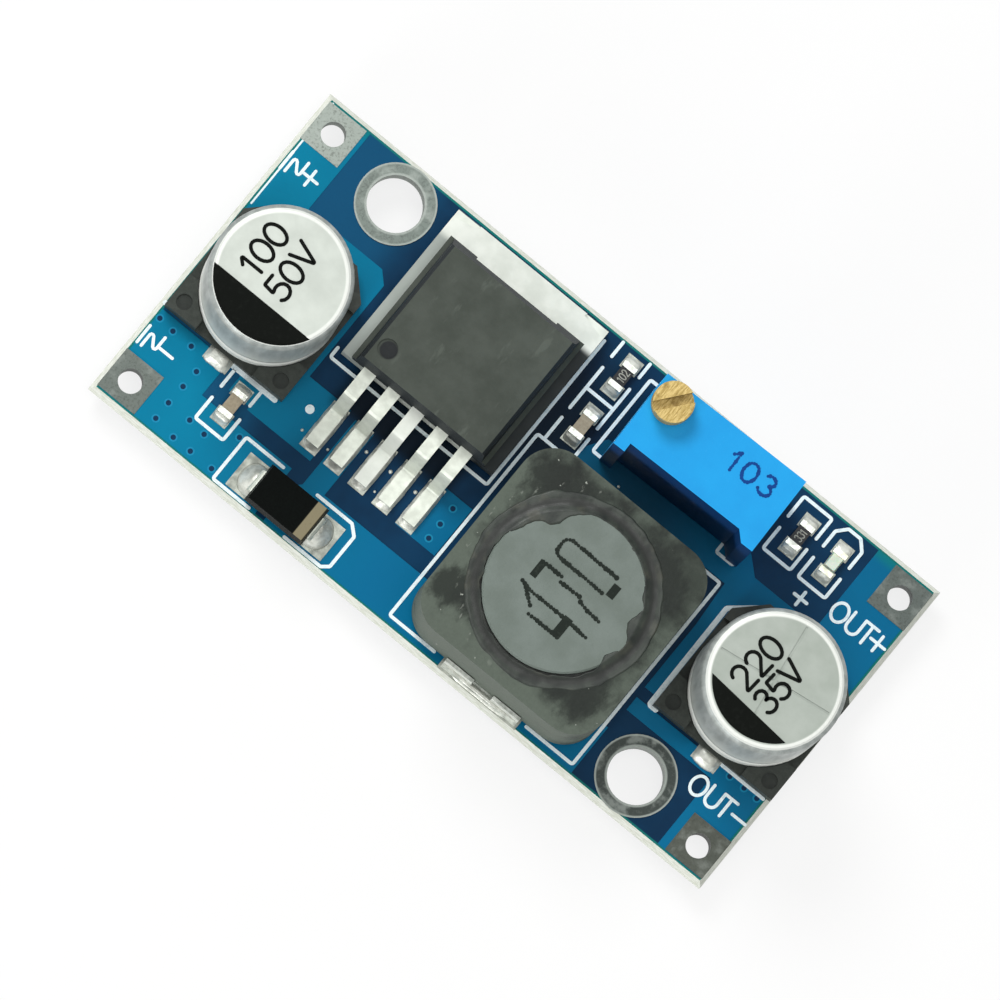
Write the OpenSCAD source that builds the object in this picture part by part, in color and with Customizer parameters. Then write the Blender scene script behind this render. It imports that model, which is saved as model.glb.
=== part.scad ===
// Buck converter module: a small switching regulator board with its parts on it.
// Origin: centre of the board's underside. +X runs from the IN end to the OUT end,
// +Y to the IN+ and OUT+ side, +Z up out of the component side.

/* [Board] */
// Length of the board, along X
board_l = 43.2; // [43:0.1:60]
// Width of the board, along Y
board_w = 21; // [21:0.1:40]
// Thickness of the board
board_t = 1.6; // [1:0.1:2.4]
// Depth of the snap-off groove that each edge keeps, on both faces
score_depth = 0.5; // [0.2:0.05:0.7]
// How far the groove's slope reaches in from the edge
score_run = 0.28; // [0.1:0.02:0.4]
// Thickness of the copper lands and of the plating in holes
copper_t = 0.07; // [0.05:0.01:0.12]

/* [Mounting holes] */
// Bore of the two mounting holes, inside the plating
mount_hole_d = 3.2; // [2.5:0.1:3.4]
// Diameter of the bare metal ring round each mounting hole
mount_ring_d = 4.6; // [4.2:0.1:4.8]
// Distance from the board's end to the middle of a mounting hole
mount_inset_x = 6.6; // [5.5:0.1:7]
// Distance from the board's side to the middle of a mounting hole
mount_inset_y = 2.5; // [2.5:0.1:3]

/* [Terminals] */
// Bore of the four wire holes, inside the plating
terminal_hole_d = 1.4; // [1:0.1:1.8]
// Side of the square pad round each wire hole
terminal_pad_w = 2.6; // [2.2:0.1:2.8]
// Distance from the board's end to the middle of a wire hole
terminal_inset_x = 1.55; // [1.5:0.05:2]
// Distance from the board's side to the middle of a wire hole
terminal_inset_y = 1.7; // [1.6:0.05:2.2]

/* [Electrolytic capacitors] */
// Diameter of the aluminium can
can_d = 8; // [6.3:0.1:8.4]
// Height of the can's top above its lands
can_h = 10.2; // [6:0.1:12]
// Radius of the can's top edge
can_edge_r = 0.45; // [0.2:0.05:0.8]
// Depth of the beading that grips the seal
bead_depth = 0.35; // [0.1:0.05:0.5]
// Height of the middle of the beading above the lands
bead_z = 2.5; // [2.2:0.1:3.5]
// Radius of the curl that closes the can round its seal
can_curl_r = 0.45; // [0.3:0.05:0.6]
// Width of the score lines in the vented can's top
vent_w = 0.14; // [0.08:0.02:0.3]
// Depth of the score lines in the vented can's top
vent_depth = 0.06; // [0.03:0.01:0.12]
// Turn of the score lines about the can's axis
vent_turn = 8; // [-45:1:45]
// How far the plastic base stands out past the can, on each side
base_lip = 0.15; // [0.1:0.05:0.4]
// Height of the base at its corner posts
base_h = 1.3; // [1:0.1:2]
// Thickness of the base under the can
base_floor = 0.55; // [0.4:0.05:0.8]
// Size of the two cut corners, on the positive side
base_chamfer = 1.5; // [0.8:0.1:2]
// Width of the flattened lead
can_lead_w = 0.9; // [0.6:0.1:1.2]
// Thickness of the flattened lead
can_lead_t = 0.25; // [0.15:0.05:0.35]
// How far each lead shows past the base
can_lead_toe = 0.4; // [0.2:0.1:0.8]
// Distance between the two leads where they leave the can
can_lead_gap = 3.1; // [2.5:0.1:3.5]
// Middle of the input capacitor on the board
input_cap_at = [-17.1, -0.3]; // [-20:0.05:20]
// Middle of the output capacitor on the board
output_cap_at = [17.4, -0.3]; // [-20:0.05:20]

/* [Regulator] */
// Width of the moulded body at its parting line
reg_w = 9.4; // [8.8:0.1:10]
// Length of the moulded body at its parting line
reg_l = 8.6; // [8:0.1:9]
// Height of the moulded body
reg_h = 4.5; // [4:0.1:5]
// Height of the parting line, where the leads come out
reg_parting_z = 2.75; // [2.4:0.05:3]
// How far the sides and the back lean in from the parting line to the top
reg_draft = 0.55; // [0.5:0.05:0.8]
// Width of the ledge that the sides keep at the parting line
reg_ledge = 0.27; // [0.1:0.01:0.3]
// Width of the bevel round the top of the sides
reg_bevel = 0.17; // [0.1:0.01:0.2]
// How far the body leans in from the parting line to its underside
reg_foot_draft = 0.15; // [0.05:0.05:0.3]
// How far the front leans in from the parting line to the top
reg_front_draft = 0.2; // [0.1:0.05:0.5]
// Width of the metal tab
reg_tab_w = 10.6; // [10.2:0.1:11]
// Thickness of the metal tab
reg_tab_t = 1.3; // [1:0.05:1.5]
// How far the tab stands out behind the body
reg_tab_out = 1.6; // [1:0.1:2.5]
// Depth of the coined step in the tab's far corners
reg_coin = 0.4; // [0.2:0.05:0.6]
// Length of that step along the tab's far edge
reg_coin_l = 1.5; // [1:0.1:2]
// Slant of that step
reg_coin_turn = 14; // [0:1:20]
// Depth of the window in the body's back, over the tab
reg_window = 0.2; // [0.1:0.05:0.4]
// Diameter of the round mark beside the first lead
reg_mark_d = 1.15; // [0.8:0.05:1.4]
// Number of leads
reg_leads = 5; // [3:2:5]
// Distance from lead to lead
reg_pitch = 1.7; // [1.6:0.05:1.8]
// Width of a lead
reg_lead_w = 0.82; // [0.6:0.02:1]
// Thickness of a lead
reg_lead_t = 0.5; // [0.38:0.02:0.6]
// How far the leads reach in front of the body
reg_lead_reach = 4.85; // [4.4:0.05:5.2]
// How far the leads run straight out of the body before they bend down
reg_shoulder = 1.55; // [1.2:0.05:1.8]
// Radius of the leads' bends
reg_bend_r = 0.5; // [0.3:0.05:0.6]
// Length of the flat foot at the end of a lead
reg_foot = 2.3; // [1.6:0.1:2.6]
// Middle of the regulator along the board
reg_x = -6.82; // [-8:0.02:-6]
// Gap between the tab's far edge and the board's side
reg_edge = 0.65; // [0.4:0.05:1]

/* [Inductor] */
// Side of the square ferrite shield
shield_w = 12.3; // [11.8:0.1:12.6]
// Height of the shield's top above the lands
shield_h = 7.6; // [5:0.1:9]
// Radius of the shield's corners
shield_r = 2.1; // [1:0.1:3]
// Diameter of the round window in the shield
window_d = 10.5; // [10:0.1:11]
// Diameter of the drum core's flanges
drum_d = 9; // [8:0.1:9.4]
// Diameter of the post between the drum core's flanges
drum_post_d = 4.6; // [3.5:0.1:5.5]
// Thickness of each flange of the drum core
flange_t = 1.3; // [1:0.1:2]
// How far the drum core stands out above the shield
drum_proud = 0.15; // [0:0.05:0.4]
// Diameter of the winding's wire
wire_d = 0.62; // [0.4:0.01:0.8]
// How far below the shield's top the glue in its window lies
glue_below = 0.35; // [0.1:0.05:0.6]
// How far the winding stays inside the flanges
winding_inset = 0.5; // [0.3:0.05:0.8]
// Length of each terminal clip along the shield's side
clip_l = 5.2; // [4:0.1:6]
// Thickness of the clip's sheet metal
clip_t = 0.2; // [0.15:0.05:0.3]
// Width of each of the clip's two ears
clip_ear_w = 1.92; // [1.2:0.02:2.4]
// Height of the clip's two ears
clip_ear_h = 1.5; // [1:0.1:3]
// How far the clip's foot stands out past the shield
clip_out = 0.5; // [0.3:0.05:0.8]
// Length of the clip's foot, most of it under the shield
clip_foot = 3.6; // [2.5:0.1:4]
// Middle of the inductor along the board
inductor_x = 5.52; // [5:0.02:6]
// Gap between the shield and the board's side
inductor_edge = 0.85; // [0.6:0.05:1.2]

/* [Diode] */
// Length of the diode's body, along X
diode_l = 4; // [3.8:0.1:4.3]
// Width of the diode's body
diode_w = 2.5; // [2.3:0.1:2.8]
// Height of the diode's body above its lands
diode_h = 2.2; // [1.9:0.1:2.4]
// Width of the diode's leads
diode_lead_w = 1.4; // [1.2:0.05:1.6]
// Thickness of the diode's leads
diode_lead_t = 0.2; // [0.15:0.05:0.3]
// How far the diode's leads reach into and under its body
diode_lead_in = 0.8; // [0.5:0.05:1.2]
// How far the diode's sides lean in
diode_draft = 0.12; // [0.05:0.01:0.2]
// Middle of the diode along the board
diode_x = -9.15; // [-11:0.05:-7]
// Gap between the diode's body and the board's side
diode_edge = 0.5; // [0.4:0.05:1]

/* [Chip parts] */
// Length of a chip part over its ends
chip_l = 1.6; // [1.5:0.05:1.7]
// Width of a chip part
chip_w = 0.85; // [0.7:0.05:0.9]
// Height of a ceramic capacitor chip
chip_cap_h = 0.8; // [0.6:0.05:0.9]
// Height of a resistor chip
chip_res_h = 0.45; // [0.35:0.05:0.6]
// Length of each metal end
chip_end = 0.32; // [0.2:0.02:0.4]
// Thickness of the metal on each end
chip_plate_t = 0.04; // [0.03:0.01:0.06]
// Height of the lamp's base
lamp_base_h = 0.25; // [0.2:0.05:0.3]
// Height of the lamp's moulded lens above its base
lens_h = 0.4; // [0.3:0.05:0.5]
// How far the lens's sides lean in
lens_draft = 0.08; // [0.04:0.01:0.15]
// Middle of the input bypass capacitor
bypass_at = [-14.95, -6.28]; // [-20:0.05:20]
// Middle of the feedback capacitor
feedback_at = [0.6, 5.05]; // [-20:0.05:20]
// Middle of the divider resistor along the board
divider_x = 0.6; // [0.4:0.05:0.8]
// Distance from the board's side to the middle of the divider resistor
divider_inset = 1.98; // [1.8:0.02:2.2]
// Middle of the lamp's series resistor
lamp_resistor_at = [13.65, 7.93]; // [-20:0.05:20]
// Middle of the power lamp
lamp_at = [16, 7.95]; // [-20:0.05:20]

/* [Trimmer] */
// Length of the trimmer's case, along X
case_l = 9.53; // [9.2:0.01:10]
// Depth of the trimmer's case, along Y
case_w = 4.83; // [4.6:0.01:5.1]
// Height of the trimmer's case, with its feet
case_h = 10.03; // [9.6:0.01:11]
// Wall thickness of the case
case_wall = 0.45; // [0.3:0.05:0.5]
// Thickness of the case's top, which carries the screw
case_roof = 1.6; // [1.4:0.05:2]
// Height of the feet that keep the case off the board
case_foot_h = 0.4; // [0.2:0.05:0.6]
// Depth of the recess in the case's front
case_recess = 0.55; // [0.3:0.05:0.6]
// Width of the posts on each side of that recess
case_post = 0.75; // [0.6:0.05:1]
// Turn of the trimmer on the board, as it was soldered
trimmer_turn = 1.2; // [-3:0.1:3]
// Middle of the trimmer on the board
trimmer_at = [7.2, 6.7]; // [-20:0.05:20]
// Diameter of the adjusting screw's head
screw_head_d = 2.3; // [2:0.05:2.4]
// Height of the screw's head above the case
screw_head_h = 1.4; // [1:0.05:1.8]
// Width of the screwdriver slot
slot_w = 0.55; // [0.4:0.05:0.7]
// Depth of the screwdriver slot
slot_depth = 0.6; // [0.4:0.05:0.8]
// Turn of the screwdriver slot
slot_turn = 50; // [0:5:175]
// Diameter of the screw's neck, where it passes through the case
neck_d = 1.4; // [1.2:0.05:1.5]
// Number of teeth on the worm wheel
wheel_teeth = 30; // [28:1:31]
// Axial pitch of the worm, which has one start
worm_pitch = 0.63; // [0.6:0.01:0.66]
// Depth of the worm's thread either side of its pitch line
worm_depth = 0.17; // [0.1:0.01:0.18]
// Length of the worm
worm_l = 4.2; // [3:0.1:5]
// Thickness of the worm wheel's rim
wheel_rim_t = 1; // [0.8:0.1:1.2]
// Thickness of the ceramic plate that carries the resistance track
ceramic_t = 0.6; // [0.5:0.05:0.7]
// Diameter of the three pins
pin_d = 0.5; // [0.4:0.05:0.6]
// Distance from pin to pin
pin_pitch = 2.54; // [2.5:0.01:2.6]
// How far the pins show under the board
pin_out = 1; // [0.6:0.1:1.5]
// How far the pins reach up the ceramic plate
pin_grip = 1.6; // [1:0.1:1.8]
// Radius of the worm wheel's hub
hub_r = 1.5; // [1.3:0.05:1.6]
// Gap between the hub and the ceramic plate, where the wiper works
hub_gap = 0.55; // [0.45:0.05:0.7]
// Diameter of the moulded pivot that carries the worm wheel
pivot_d = 1.2; // [1:0.1:1.6]
// Middle radius of the resistance track
track_r = 2.35; // [2:0.05:2.6]
// Width of the resistance track
track_w = 0.7; // [0.5:0.05:1]
// Inner radius of the collector ring inside the track
collector_r = 0.5; // [0.4:0.05:0.6]
// Width of the collector ring
collector_w = 0.6; // [0.4:0.05:0.7]
// Angle that the track covers
track_angle = 300; // [270:5:300]
// Thickness of the printed track and collector
track_t = 0.05; // [0.03:0.01:0.08]
// Thickness of the potting that closes the case from below
sealant_t = 0.8; // [0.5:0.1:1]
// Thickness of the wiper's spring metal
wiper_t = 0.12; // [0.08:0.02:0.16]
// Width of the wiper's arm
wiper_w = 0.5; // [0.3:0.05:0.6]
// How much wider the pin holes are than the pins, on each side
pin_hole_gap = 0.15; // [0.1:0.01:0.25]
// Width of the copper round each pin hole
pin_land_w = 0.45; // [0.3:0.05:0.6]
// Depth of the seat for the seal ring
seal_seat = 0.6; // [0.4:0.05:0.8]
// Diameter of the seal ring's section
seal_d = 0.22; // [0.16:0.02:0.26]

/* [Lands] */
// How far a land shows past the end of its lead
land_toe = 0.4; // [0.2:0.05:0.6]
// How far a land shows beside its lead
land_side = 0.14; // [0.05:0.01:0.3]
// How far the electrolytic capacitors' lands reach in under the base
cap_land_in = 2.6; // [2:0.1:3]
// Width of the electrolytic capacitors' lands
cap_land_w = 1.6; // [1.3:0.1:2.4]
// Length of the diode's lands
diode_land_l = 1.9; // [1.6:0.05:2.2]
// How far the diode's lands reach past its body
diode_land_out = 1.35; // [1:0.05:1.6]
// Width of the diode's lands
diode_land_w = 2.25; // [1.8:0.05:2.6]
// Width of the chip parts' lands
chip_land_w = 1.05; // [0.9:0.05:1.3]
// Length of the chip parts' lands
chip_land_l = 0.9; // [0.7:0.05:1]
// How far the chip parts' lands reach past their ends
chip_land_out = 0.5; // [0.3:0.05:0.6]

/* [Fits] */
// Gap that a turning piece keeps from what holds it
running_gap = 0.05; // [0.02:0.01:0.08]
// Gap between pieces that are dropped or glued in place
seat_gap = 0.05; // [0.02:0.01:0.1]

/* [Hidden] */
$fn = 48;
cut = 0.5; // how far a cutting shape runs past the face that it cuts

can_r = can_d / 2;
base_w = can_d + 2 * base_lip;
land_z = board_t + copper_t;
bit = 0.01; // overlap that keeps two shapes of one piece joined
mark_d = 0.9; // ejector marks of the moulded bases
mark_depth = 0.12;
mark_inset = 0.75;
lead_root = 1.5; // how far the regulator's leads reach into its body
drum_edge = 0.1; // bevel round the drum core's top

reg_y_out = reg_l + reg_tab_out;
reg_tab_front = seat_gap;
reg_at = [reg_x, board_w / 2 - reg_edge - reg_y_out]; // middle of the body's front edge
reg_lead_z = reg_parting_z - reg_lead_t / 2;

divider_at = [divider_x, board_w / 2 - divider_inset];
inductor_at = [inductor_x, inductor_edge + (shield_w - board_w) / 2];
diode_at = [diode_x, diode_edge + (diode_w - board_w) / 2];
drum_h = shield_h + drum_proud - clip_t;
winding_h = drum_h - 2 * flange_t;
winding_turns = floor(winding_h / wire_d);
glue_z = shield_h - glue_below;
glue_floor = clip_t + drum_h - flange_t;

cavity_top = case_h - case_roof;
cavity_front = -case_w / 2 + case_recess + case_wall;
cavity_back = case_w / 2 - case_wall;
ceramic_face = cavity_front + ceramic_t;
wheel_r = wheel_teeth * worm_pitch / (2 * PI);
worm_r = neck_d / 2 - worm_depth;
screw_x = running_gap + neck_d / 2 + case_wall - case_l / 2;
wheel_x = screw_x + worm_r + wheel_r;
screw_y = cavity_back - running_gap - neck_d / 2;
wheel_z = (case_foot_h + sealant_t + cavity_top) / 2;
hub_front = ceramic_face + hub_gap;
pin_y = ceramic_face + pin_d / 2 + seat_gap;
pin_hole_r = pin_d / 2 + pin_hole_gap;
pin_land_r = pin_hole_r + pin_land_w;
seal_gap = 0.02;

// ---- Helpers -------------------------------------------------------------

// Puts a part on the component side, standing on its lands
module on_board(at, turn = 0) {
    translate([at[0], at[1], land_z])
        rotate(turn)
            children();
}

// Puts a land on the bare board, under a part
module on_copper(at, turn = 0) {
    translate([at[0], at[1], board_t])
        rotate(turn)
            children();
}

// A flat block, centred in X and Y, standing on z
module block(size, z = 0) {
    translate([-size[0] / 2, -size[1] / 2, z])
        cube(size);
}

// A square of side w with round corners
module rounded_square(w, r) {
    square([w, w - 2 * r], center = true);
    square([w - 2 * r, w], center = true);
    for (sx = [-1, 1], sy = [-1, 1])
        translate([sx, sy] * (w / 2 - r))
            circle(r);
}

// Copies what follows to the other side of the YZ plane, or the XZ plane
module both_x() {
    children();
    mirror([1, 0, 0])
        children();
}

module both_y() {
    children();
    mirror([0, 1, 0])
        children();
}

// Direction from p to q
function toward(p, q) = (q - p) / norm(q - p);

function turned(v, a) = [v[0] * cos(a) - v[1] * sin(a), v[0] * sin(a) + v[1] * cos(a)];

// The arc of radius r that rounds the corner b between a and c
function corner_arc(a, b, c, r, steps) =
    let (
        u = toward(b, a),
        v = toward(b, c),
        half = acos(u * v) / 2,
        centre = b + (u + v) / norm(u + v) * r / sin(half),
        start = b + u * r / tan(half) - centre,
        way = cross(u, v) > 0 ? -1 : 1
    )
    [for (i = [0 : steps]) centre + turned(start, way * (180 - 2 * half) * i / steps)];

// A path with every inner corner bent to radius r
function bent(path, r, steps = 4) = [
    path[0],
    for (i = [1 : len(path) - 2])
        each corner_arc(path[i - 1], path[i], path[i + 1], r, steps),
    path[len(path) - 1]
];

// The path moved sideways by d, with mitred corners
function beside(path, d) = [
    for (i = [0 : len(path) - 1])
        let (
            last = len(path) - 1,
            before = toward(path[max(i - 1, 0)], path[max(i, 1)]),
            after = toward(path[min(i, last - 1)], path[min(i + 1, last)]),
            n1 = [-before[1], before[0]],
            n2 = [-after[1], after[0]]
        )
        path[i] + (n1 + n2) * d / (1 + n1 * n2)
];

function reversed(list) = [for (i = [len(list) - 1 : -1 : 0]) list[i]];

// Sheet metal of thickness t and width w, bent along a path in the YZ plane
module strip(path, t, w) {
    rotate([90, 0, 90])
        linear_extrude(w, center = true)
            polygon(concat(beside(path, t / 2), reversed(beside(path, -t / 2))));
}

// A block cut from two sections, one seen from the front and one seen from the side
module two_way(reach) {
    intersection() {
        rotate([90, 0, 0])
            linear_extrude(reach, center = true)
                children(0);
        rotate([90, 0, 90])
            linear_extrude(reach, center = true)
                children(1);
    }
}

// A moulding with its widest section at the parting line and drafted sides above and below it
module drafted(size, parting_z, top_draft, foot_draft) {
    two_way(2 * max(size[0], size[1])) {
        draft_section(size[0], size[2], parting_z, top_draft, foot_draft);
        draft_section(size[1], size[2], parting_z, top_draft, foot_draft);
    }
}

module draft_section(w, h, parting_z, top_draft, foot_draft) {
    polygon([
        [-w / 2 + foot_draft, 0],
        [w / 2 - foot_draft, 0],
        [w / 2, parting_z],
        [w / 2 - top_draft, h],
        [-w / 2 + top_draft, h],
        [-w / 2, parting_z]
    ]);
}

// ---- Board ---------------------------------------------------------------

// The board's section across one pair of snapped edges
module scored_section(w) {
    top = w / 2 - score_run;
    polygon([
        [-top, 0], [top, 0], [w / 2, score_depth], [w / 2, board_t - score_depth],
        [top, board_t], [-top, board_t], [-w / 2, board_t - score_depth], [-w / 2, score_depth]
    ]);
}

module at_mounting_holes() {
    for (s = [-1, 1])
        translate([s * (board_l / 2 - mount_inset_x), -s * (board_w / 2 - mount_inset_y), 0])
            children();
}

module at_terminals() {
    for (sx = [-1, 1], sy = [-1, 1])
        translate([sx * (board_l / 2 - terminal_inset_x), sy * (board_w / 2 - terminal_inset_y), 0])
            children();
}

module at_pins() {
    translate([trimmer_at[0], trimmer_at[1], 0])
        rotate(trimmer_turn)
            for (i = [-1 : 1])
                translate([i * pin_pitch, pin_y, 0])
                    children();
}

// Cuts a hole through the laminate, and under it the flush seat of its copper land
module hole_with_seat(d) {
    translate([0, 0, -cut]) {
        cylinder(h = board_t + 2 * cut, d = d);
        linear_extrude(copper_t + cut)
            children();
    }
}

module circuit_board() {
    color("#0a6a96")
        difference() {
            two_way(board_l + board_w) {
                scored_section(board_l);
                scored_section(board_w);
            }
            at_mounting_holes()
                hole_with_seat(mount_hole_d + 2 * copper_t)
                    circle(d = mount_ring_d);
            at_terminals()
                hole_with_seat(terminal_hole_d + 2 * copper_t)
                    square(terminal_pad_w, center = true);
            at_pins()
                hole_with_seat(2 * pin_hole_r)
                    circle(pin_land_r);
        }
}

// A plated hole: its barrel and the bare copper round both mouths
module plated_hole(d) {
    difference() {
        union() {
            cylinder(h = board_t, d = d + 2 * copper_t);
            for (z = [0, board_t])
                translate([0, 0, z])
                    linear_extrude(copper_t)
                        children();
        }
        translate([0, 0, -cut])
            cylinder(h = board_t + 2 * cut, d = d);
    }
}

module mounting_rings() {
    color("silver")
        at_mounting_holes()
            plated_hole(mount_hole_d)
                circle(d = mount_ring_d);
}

module terminal_pads() {
    color("#b8b6ac")
        at_terminals()
            plated_hole(terminal_hole_d)
                square(terminal_pad_w, center = true);
}

// Two lands on a line along Y, which reach out to +-end
module land_pair(size, end) {
    both_y()
        translate([0, end - size[1] / 2, 0])
            block([size[0], size[1], copper_t]);
}

module solder_lands() {
    cap_land_l = can_lead_toe + land_toe + cap_land_in;
    reg_land_l = reg_foot + 2 * land_toe;
    color("#c9cac6") {
        for (at = [input_cap_at, output_cap_at])
            on_copper(at)
                land_pair([cap_land_w, cap_land_l], base_w / 2 + can_lead_toe + land_toe);
        on_copper(reg_at) {
            translate([0, reg_y_out + land_side - reg_l / 2, 0])
                block([reg_tab_w, reg_l, copper_t]);
            for (i = [0 : reg_leads - 1])
                translate([reg_lead_x(i), reg_land_l / 2 - reg_lead_reach - land_toe, 0])
                    block([reg_lead_w + 2 * land_side, reg_land_l, copper_t]);
        }
        on_copper(inductor_at)
            land_pair([clip_l + 2 * land_side, clip_foot], shield_w / 2 + clip_out + land_side);
        on_copper(diode_at, 90)
            land_pair([diode_land_w, diode_land_l], diode_l / 2 + diode_land_out);
        for (at = [bypass_at, feedback_at, divider_at, lamp_resistor_at, lamp_at])
            on_copper(at)
                land_pair([chip_land_w, chip_land_l], chip_l / 2 + chip_land_out);
        at_pins()
            for (z = [0, board_t])
                translate([0, 0, z])
                    difference() {
                        cylinder(h = copper_t, r = pin_land_r);
                        translate([0, 0, -cut])
                            cylinder(h = 2 * cut + copper_t, r = pin_hole_r);
                    }
    }
}

// ---- Electrolytic capacitors ---------------------------------------------

// Half of the can's section: seal side, curl, beading, wall, round top edge
module can_section() {
    bead_w = bead_depth * 1.6;
    polygon([
        [0, base_floor],
        [can_r - can_curl_r, base_floor],
        [can_r - can_curl_r * 0.3, base_floor + can_curl_r * 0.3],
        [can_r, base_floor + can_curl_r],
        for (i = [-6 : 6])
            [can_r - bead_depth * (1 + cos(30 * i)) / 2, bead_z + bead_w * i / 6],
        for (i = [0 : 6])
            [can_r - can_edge_r * (1 - cos(15 * i)), can_h - can_edge_r * (1 - sin(15 * i))],
        [0, can_h]
    ]);
}

module cap_can() {
    rotate_extrude()
        can_section();
}

// Score lines that let the can's top open under pressure
module vent_lines() {
    for (a = [0, 90])
        rotate(vent_turn + a)
            block([2 * (can_r - can_edge_r - vent_w), vent_w, vent_depth + cut], can_h - vent_depth);
}

module cap_base() {
    half = base_w / 2;
    difference() {
        linear_extrude(base_h)
            polygon([
                [-half, -half], [half, -half],
                [half, half - base_chamfer], [half - base_chamfer, half],
                [base_chamfer - half, half], [-half, half - base_chamfer]
            ]);
        translate([0, 0, base_floor])
            cylinder(h = base_h, r = can_r + seat_gap);
        // the walls stand at the corners only
        block([base_w + cut, can_r, base_h], base_floor);
        block([can_r, base_w + cut, base_h], base_floor);
        // ejector marks in the corner posts
        for (sx = [-1, 1])
            translate([sx * (half - mark_inset), mark_inset - half, base_h - mark_depth])
                cylinder(h = cut, d = mark_d);
        // channels and holes for the leads
        both_y() {
            translate([0, can_lead_gap / 2 + base_w / 2, -cut])
                block([can_lead_w + 2 * seat_gap, base_w, can_lead_t + seat_gap + cut]);
            translate([0, can_lead_gap / 2, -cut])
                block([can_lead_w + 2 * seat_gap, 2 * can_lead_t, base_floor + 2 * cut]);
        }
    }
}

module cap_leads() {
    y0 = can_lead_gap / 2;
    z0 = can_lead_t / 2;
    path = [[y0, base_floor], [y0, z0], [base_w / 2 + can_lead_toe, z0]];
    both_y()
        strip(path, can_lead_t, can_lead_w);
}

module input_cap_can() {
    color("#d9dad6")
        on_board(input_cap_at)
            cap_can();
}

module input_cap_base() {
    color("#26272a")
        on_board(input_cap_at)
            cap_base();
}

module input_cap_leads() {
    color("silver")
        on_board(input_cap_at)
            cap_leads();
}

module output_cap_can() {
    color("#d0d2ce")
        on_board(output_cap_at)
            difference() {
                cap_can();
                vent_lines();
            }
}

module output_cap_base() {
    color("#26272a")
        on_board(output_cap_at)
            cap_base();
}

module output_cap_leads() {
    color("silver")
        on_board(output_cap_at)
            cap_leads();
}

// ---- Regulator -----------------------------------------------------------

function reg_lead_x(i) = (i - (reg_leads - 1) / 2) * reg_pitch;

// One gull-wing lead, from its root in the moulding to its foot on the land
module reg_lead() {
    heel = reg_foot - reg_lead_reach;
    path = bent([
        [lead_root, reg_lead_z],
        [-reg_shoulder, reg_lead_z],
        [heel, reg_lead_t / 2],
        [-reg_lead_reach, reg_lead_t / 2]
    ], reg_bend_r);
    strip(path, reg_lead_t, reg_lead_w);
}

// The tab, with the middle lead stepped up out of the same sheet
module reg_tab() {
    step_z = reg_tab_t - reg_lead_t / 2;
    difference() {
        translate([0, (reg_tab_front + reg_y_out) / 2, 0])
            block([reg_tab_w, reg_y_out - reg_tab_front, reg_tab_t]);
        both_x()
            translate([reg_tab_w / 2, reg_y_out, reg_tab_t - reg_coin])
                rotate(-reg_coin_turn)
                    block([2 * reg_coin_l, reg_coin_l * 0.73, reg_coin + cut]);
    }
    strip([[lead_root, reg_lead_z], [lead_root + reg_lead_z - step_z, step_z]], reg_lead_t, reg_lead_w);
    reg_lead();
}

// The moulding's section from side to side: a ledge at the parting line and a bevelled top
module reg_front_section() {
    foot = reg_w / 2 - reg_foot_draft;
    wall = reg_w / 2 - reg_ledge;
    top = reg_w / 2 - reg_draft;
    right = [
        [foot, 0], [reg_w / 2, reg_parting_z], [wall, reg_parting_z + reg_ledge / 3],
        [top + reg_bevel, reg_h - reg_bevel], [top, reg_h]
    ];
    polygon(concat(right, [for (p = reversed(right)) [-p[0], p[1]]]));
}

// The moulding's section from front to back, with its front at y = 0
module reg_side_section() {
    polygon([
        [reg_foot_draft, 0], [reg_l - reg_foot_draft, 0], [reg_l, reg_parting_z],
        [reg_l - reg_draft, reg_h], [reg_front_draft, reg_h], [0, reg_parting_z]
    ]);
}

module at_outer_leads() {
    for (i = [0 : reg_leads - 1])
        if (i != (reg_leads - 1) / 2)
            translate([reg_lead_x(i), 0, 0])
                children();
}

module regulator_body() {
    color("#2b2d30")
        on_board(reg_at)
            difference() {
                two_way(2 * (reg_l + reg_w)) {
                    reg_front_section();
                    reg_side_section();
                }
                reg_tab();
                at_outer_leads()
                    reg_lead();
                // shallow window in the back, over the tab
                translate([0, reg_l + cut - reg_window, reg_tab_t])
                    block([reg_w * 0.6, 2 * cut, reg_h]);
                // round mark beside the first lead
                translate([reg_mark_d * 1.1 - reg_w / 2, reg_front_draft + reg_mark_d, reg_h - mark_depth])
                    cylinder(h = cut, d = reg_mark_d);
            }
}

module regulator_tab() {
    color("#c4c6c8")
        on_board(reg_at)
            reg_tab();
}

module regulator_leads() {
    color("silver")
        on_board(reg_at)
            at_outer_leads()
                reg_lead();
}

// ---- Inductor ------------------------------------------------------------

module inductor_shield() {
    color("#4e5350")
        on_board(inductor_at)
            difference() {
                translate([0, 0, clip_t])
                    linear_extrude(shield_h - clip_t)
                        rounded_square(shield_w, shield_r);
                translate([0, 0, -cut])
                    cylinder(h = shield_h + 2 * cut, d = window_d);
            }
}

module inductor_drum() {
    color("#8b918d")
        on_board(inductor_at)
            translate([0, 0, clip_t])
                rotate_extrude()
                    polygon([
                        [0, 0], [drum_d / 2, 0], [drum_d / 2, flange_t], [drum_post_d / 2, flange_t],
                        [drum_post_d / 2, drum_h - flange_t], [drum_d / 2, drum_h - flange_t],
                        [drum_d / 2, drum_h - drum_edge], [drum_d / 2 - drum_edge, drum_h], [0, drum_h]
                    ]);
}

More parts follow.
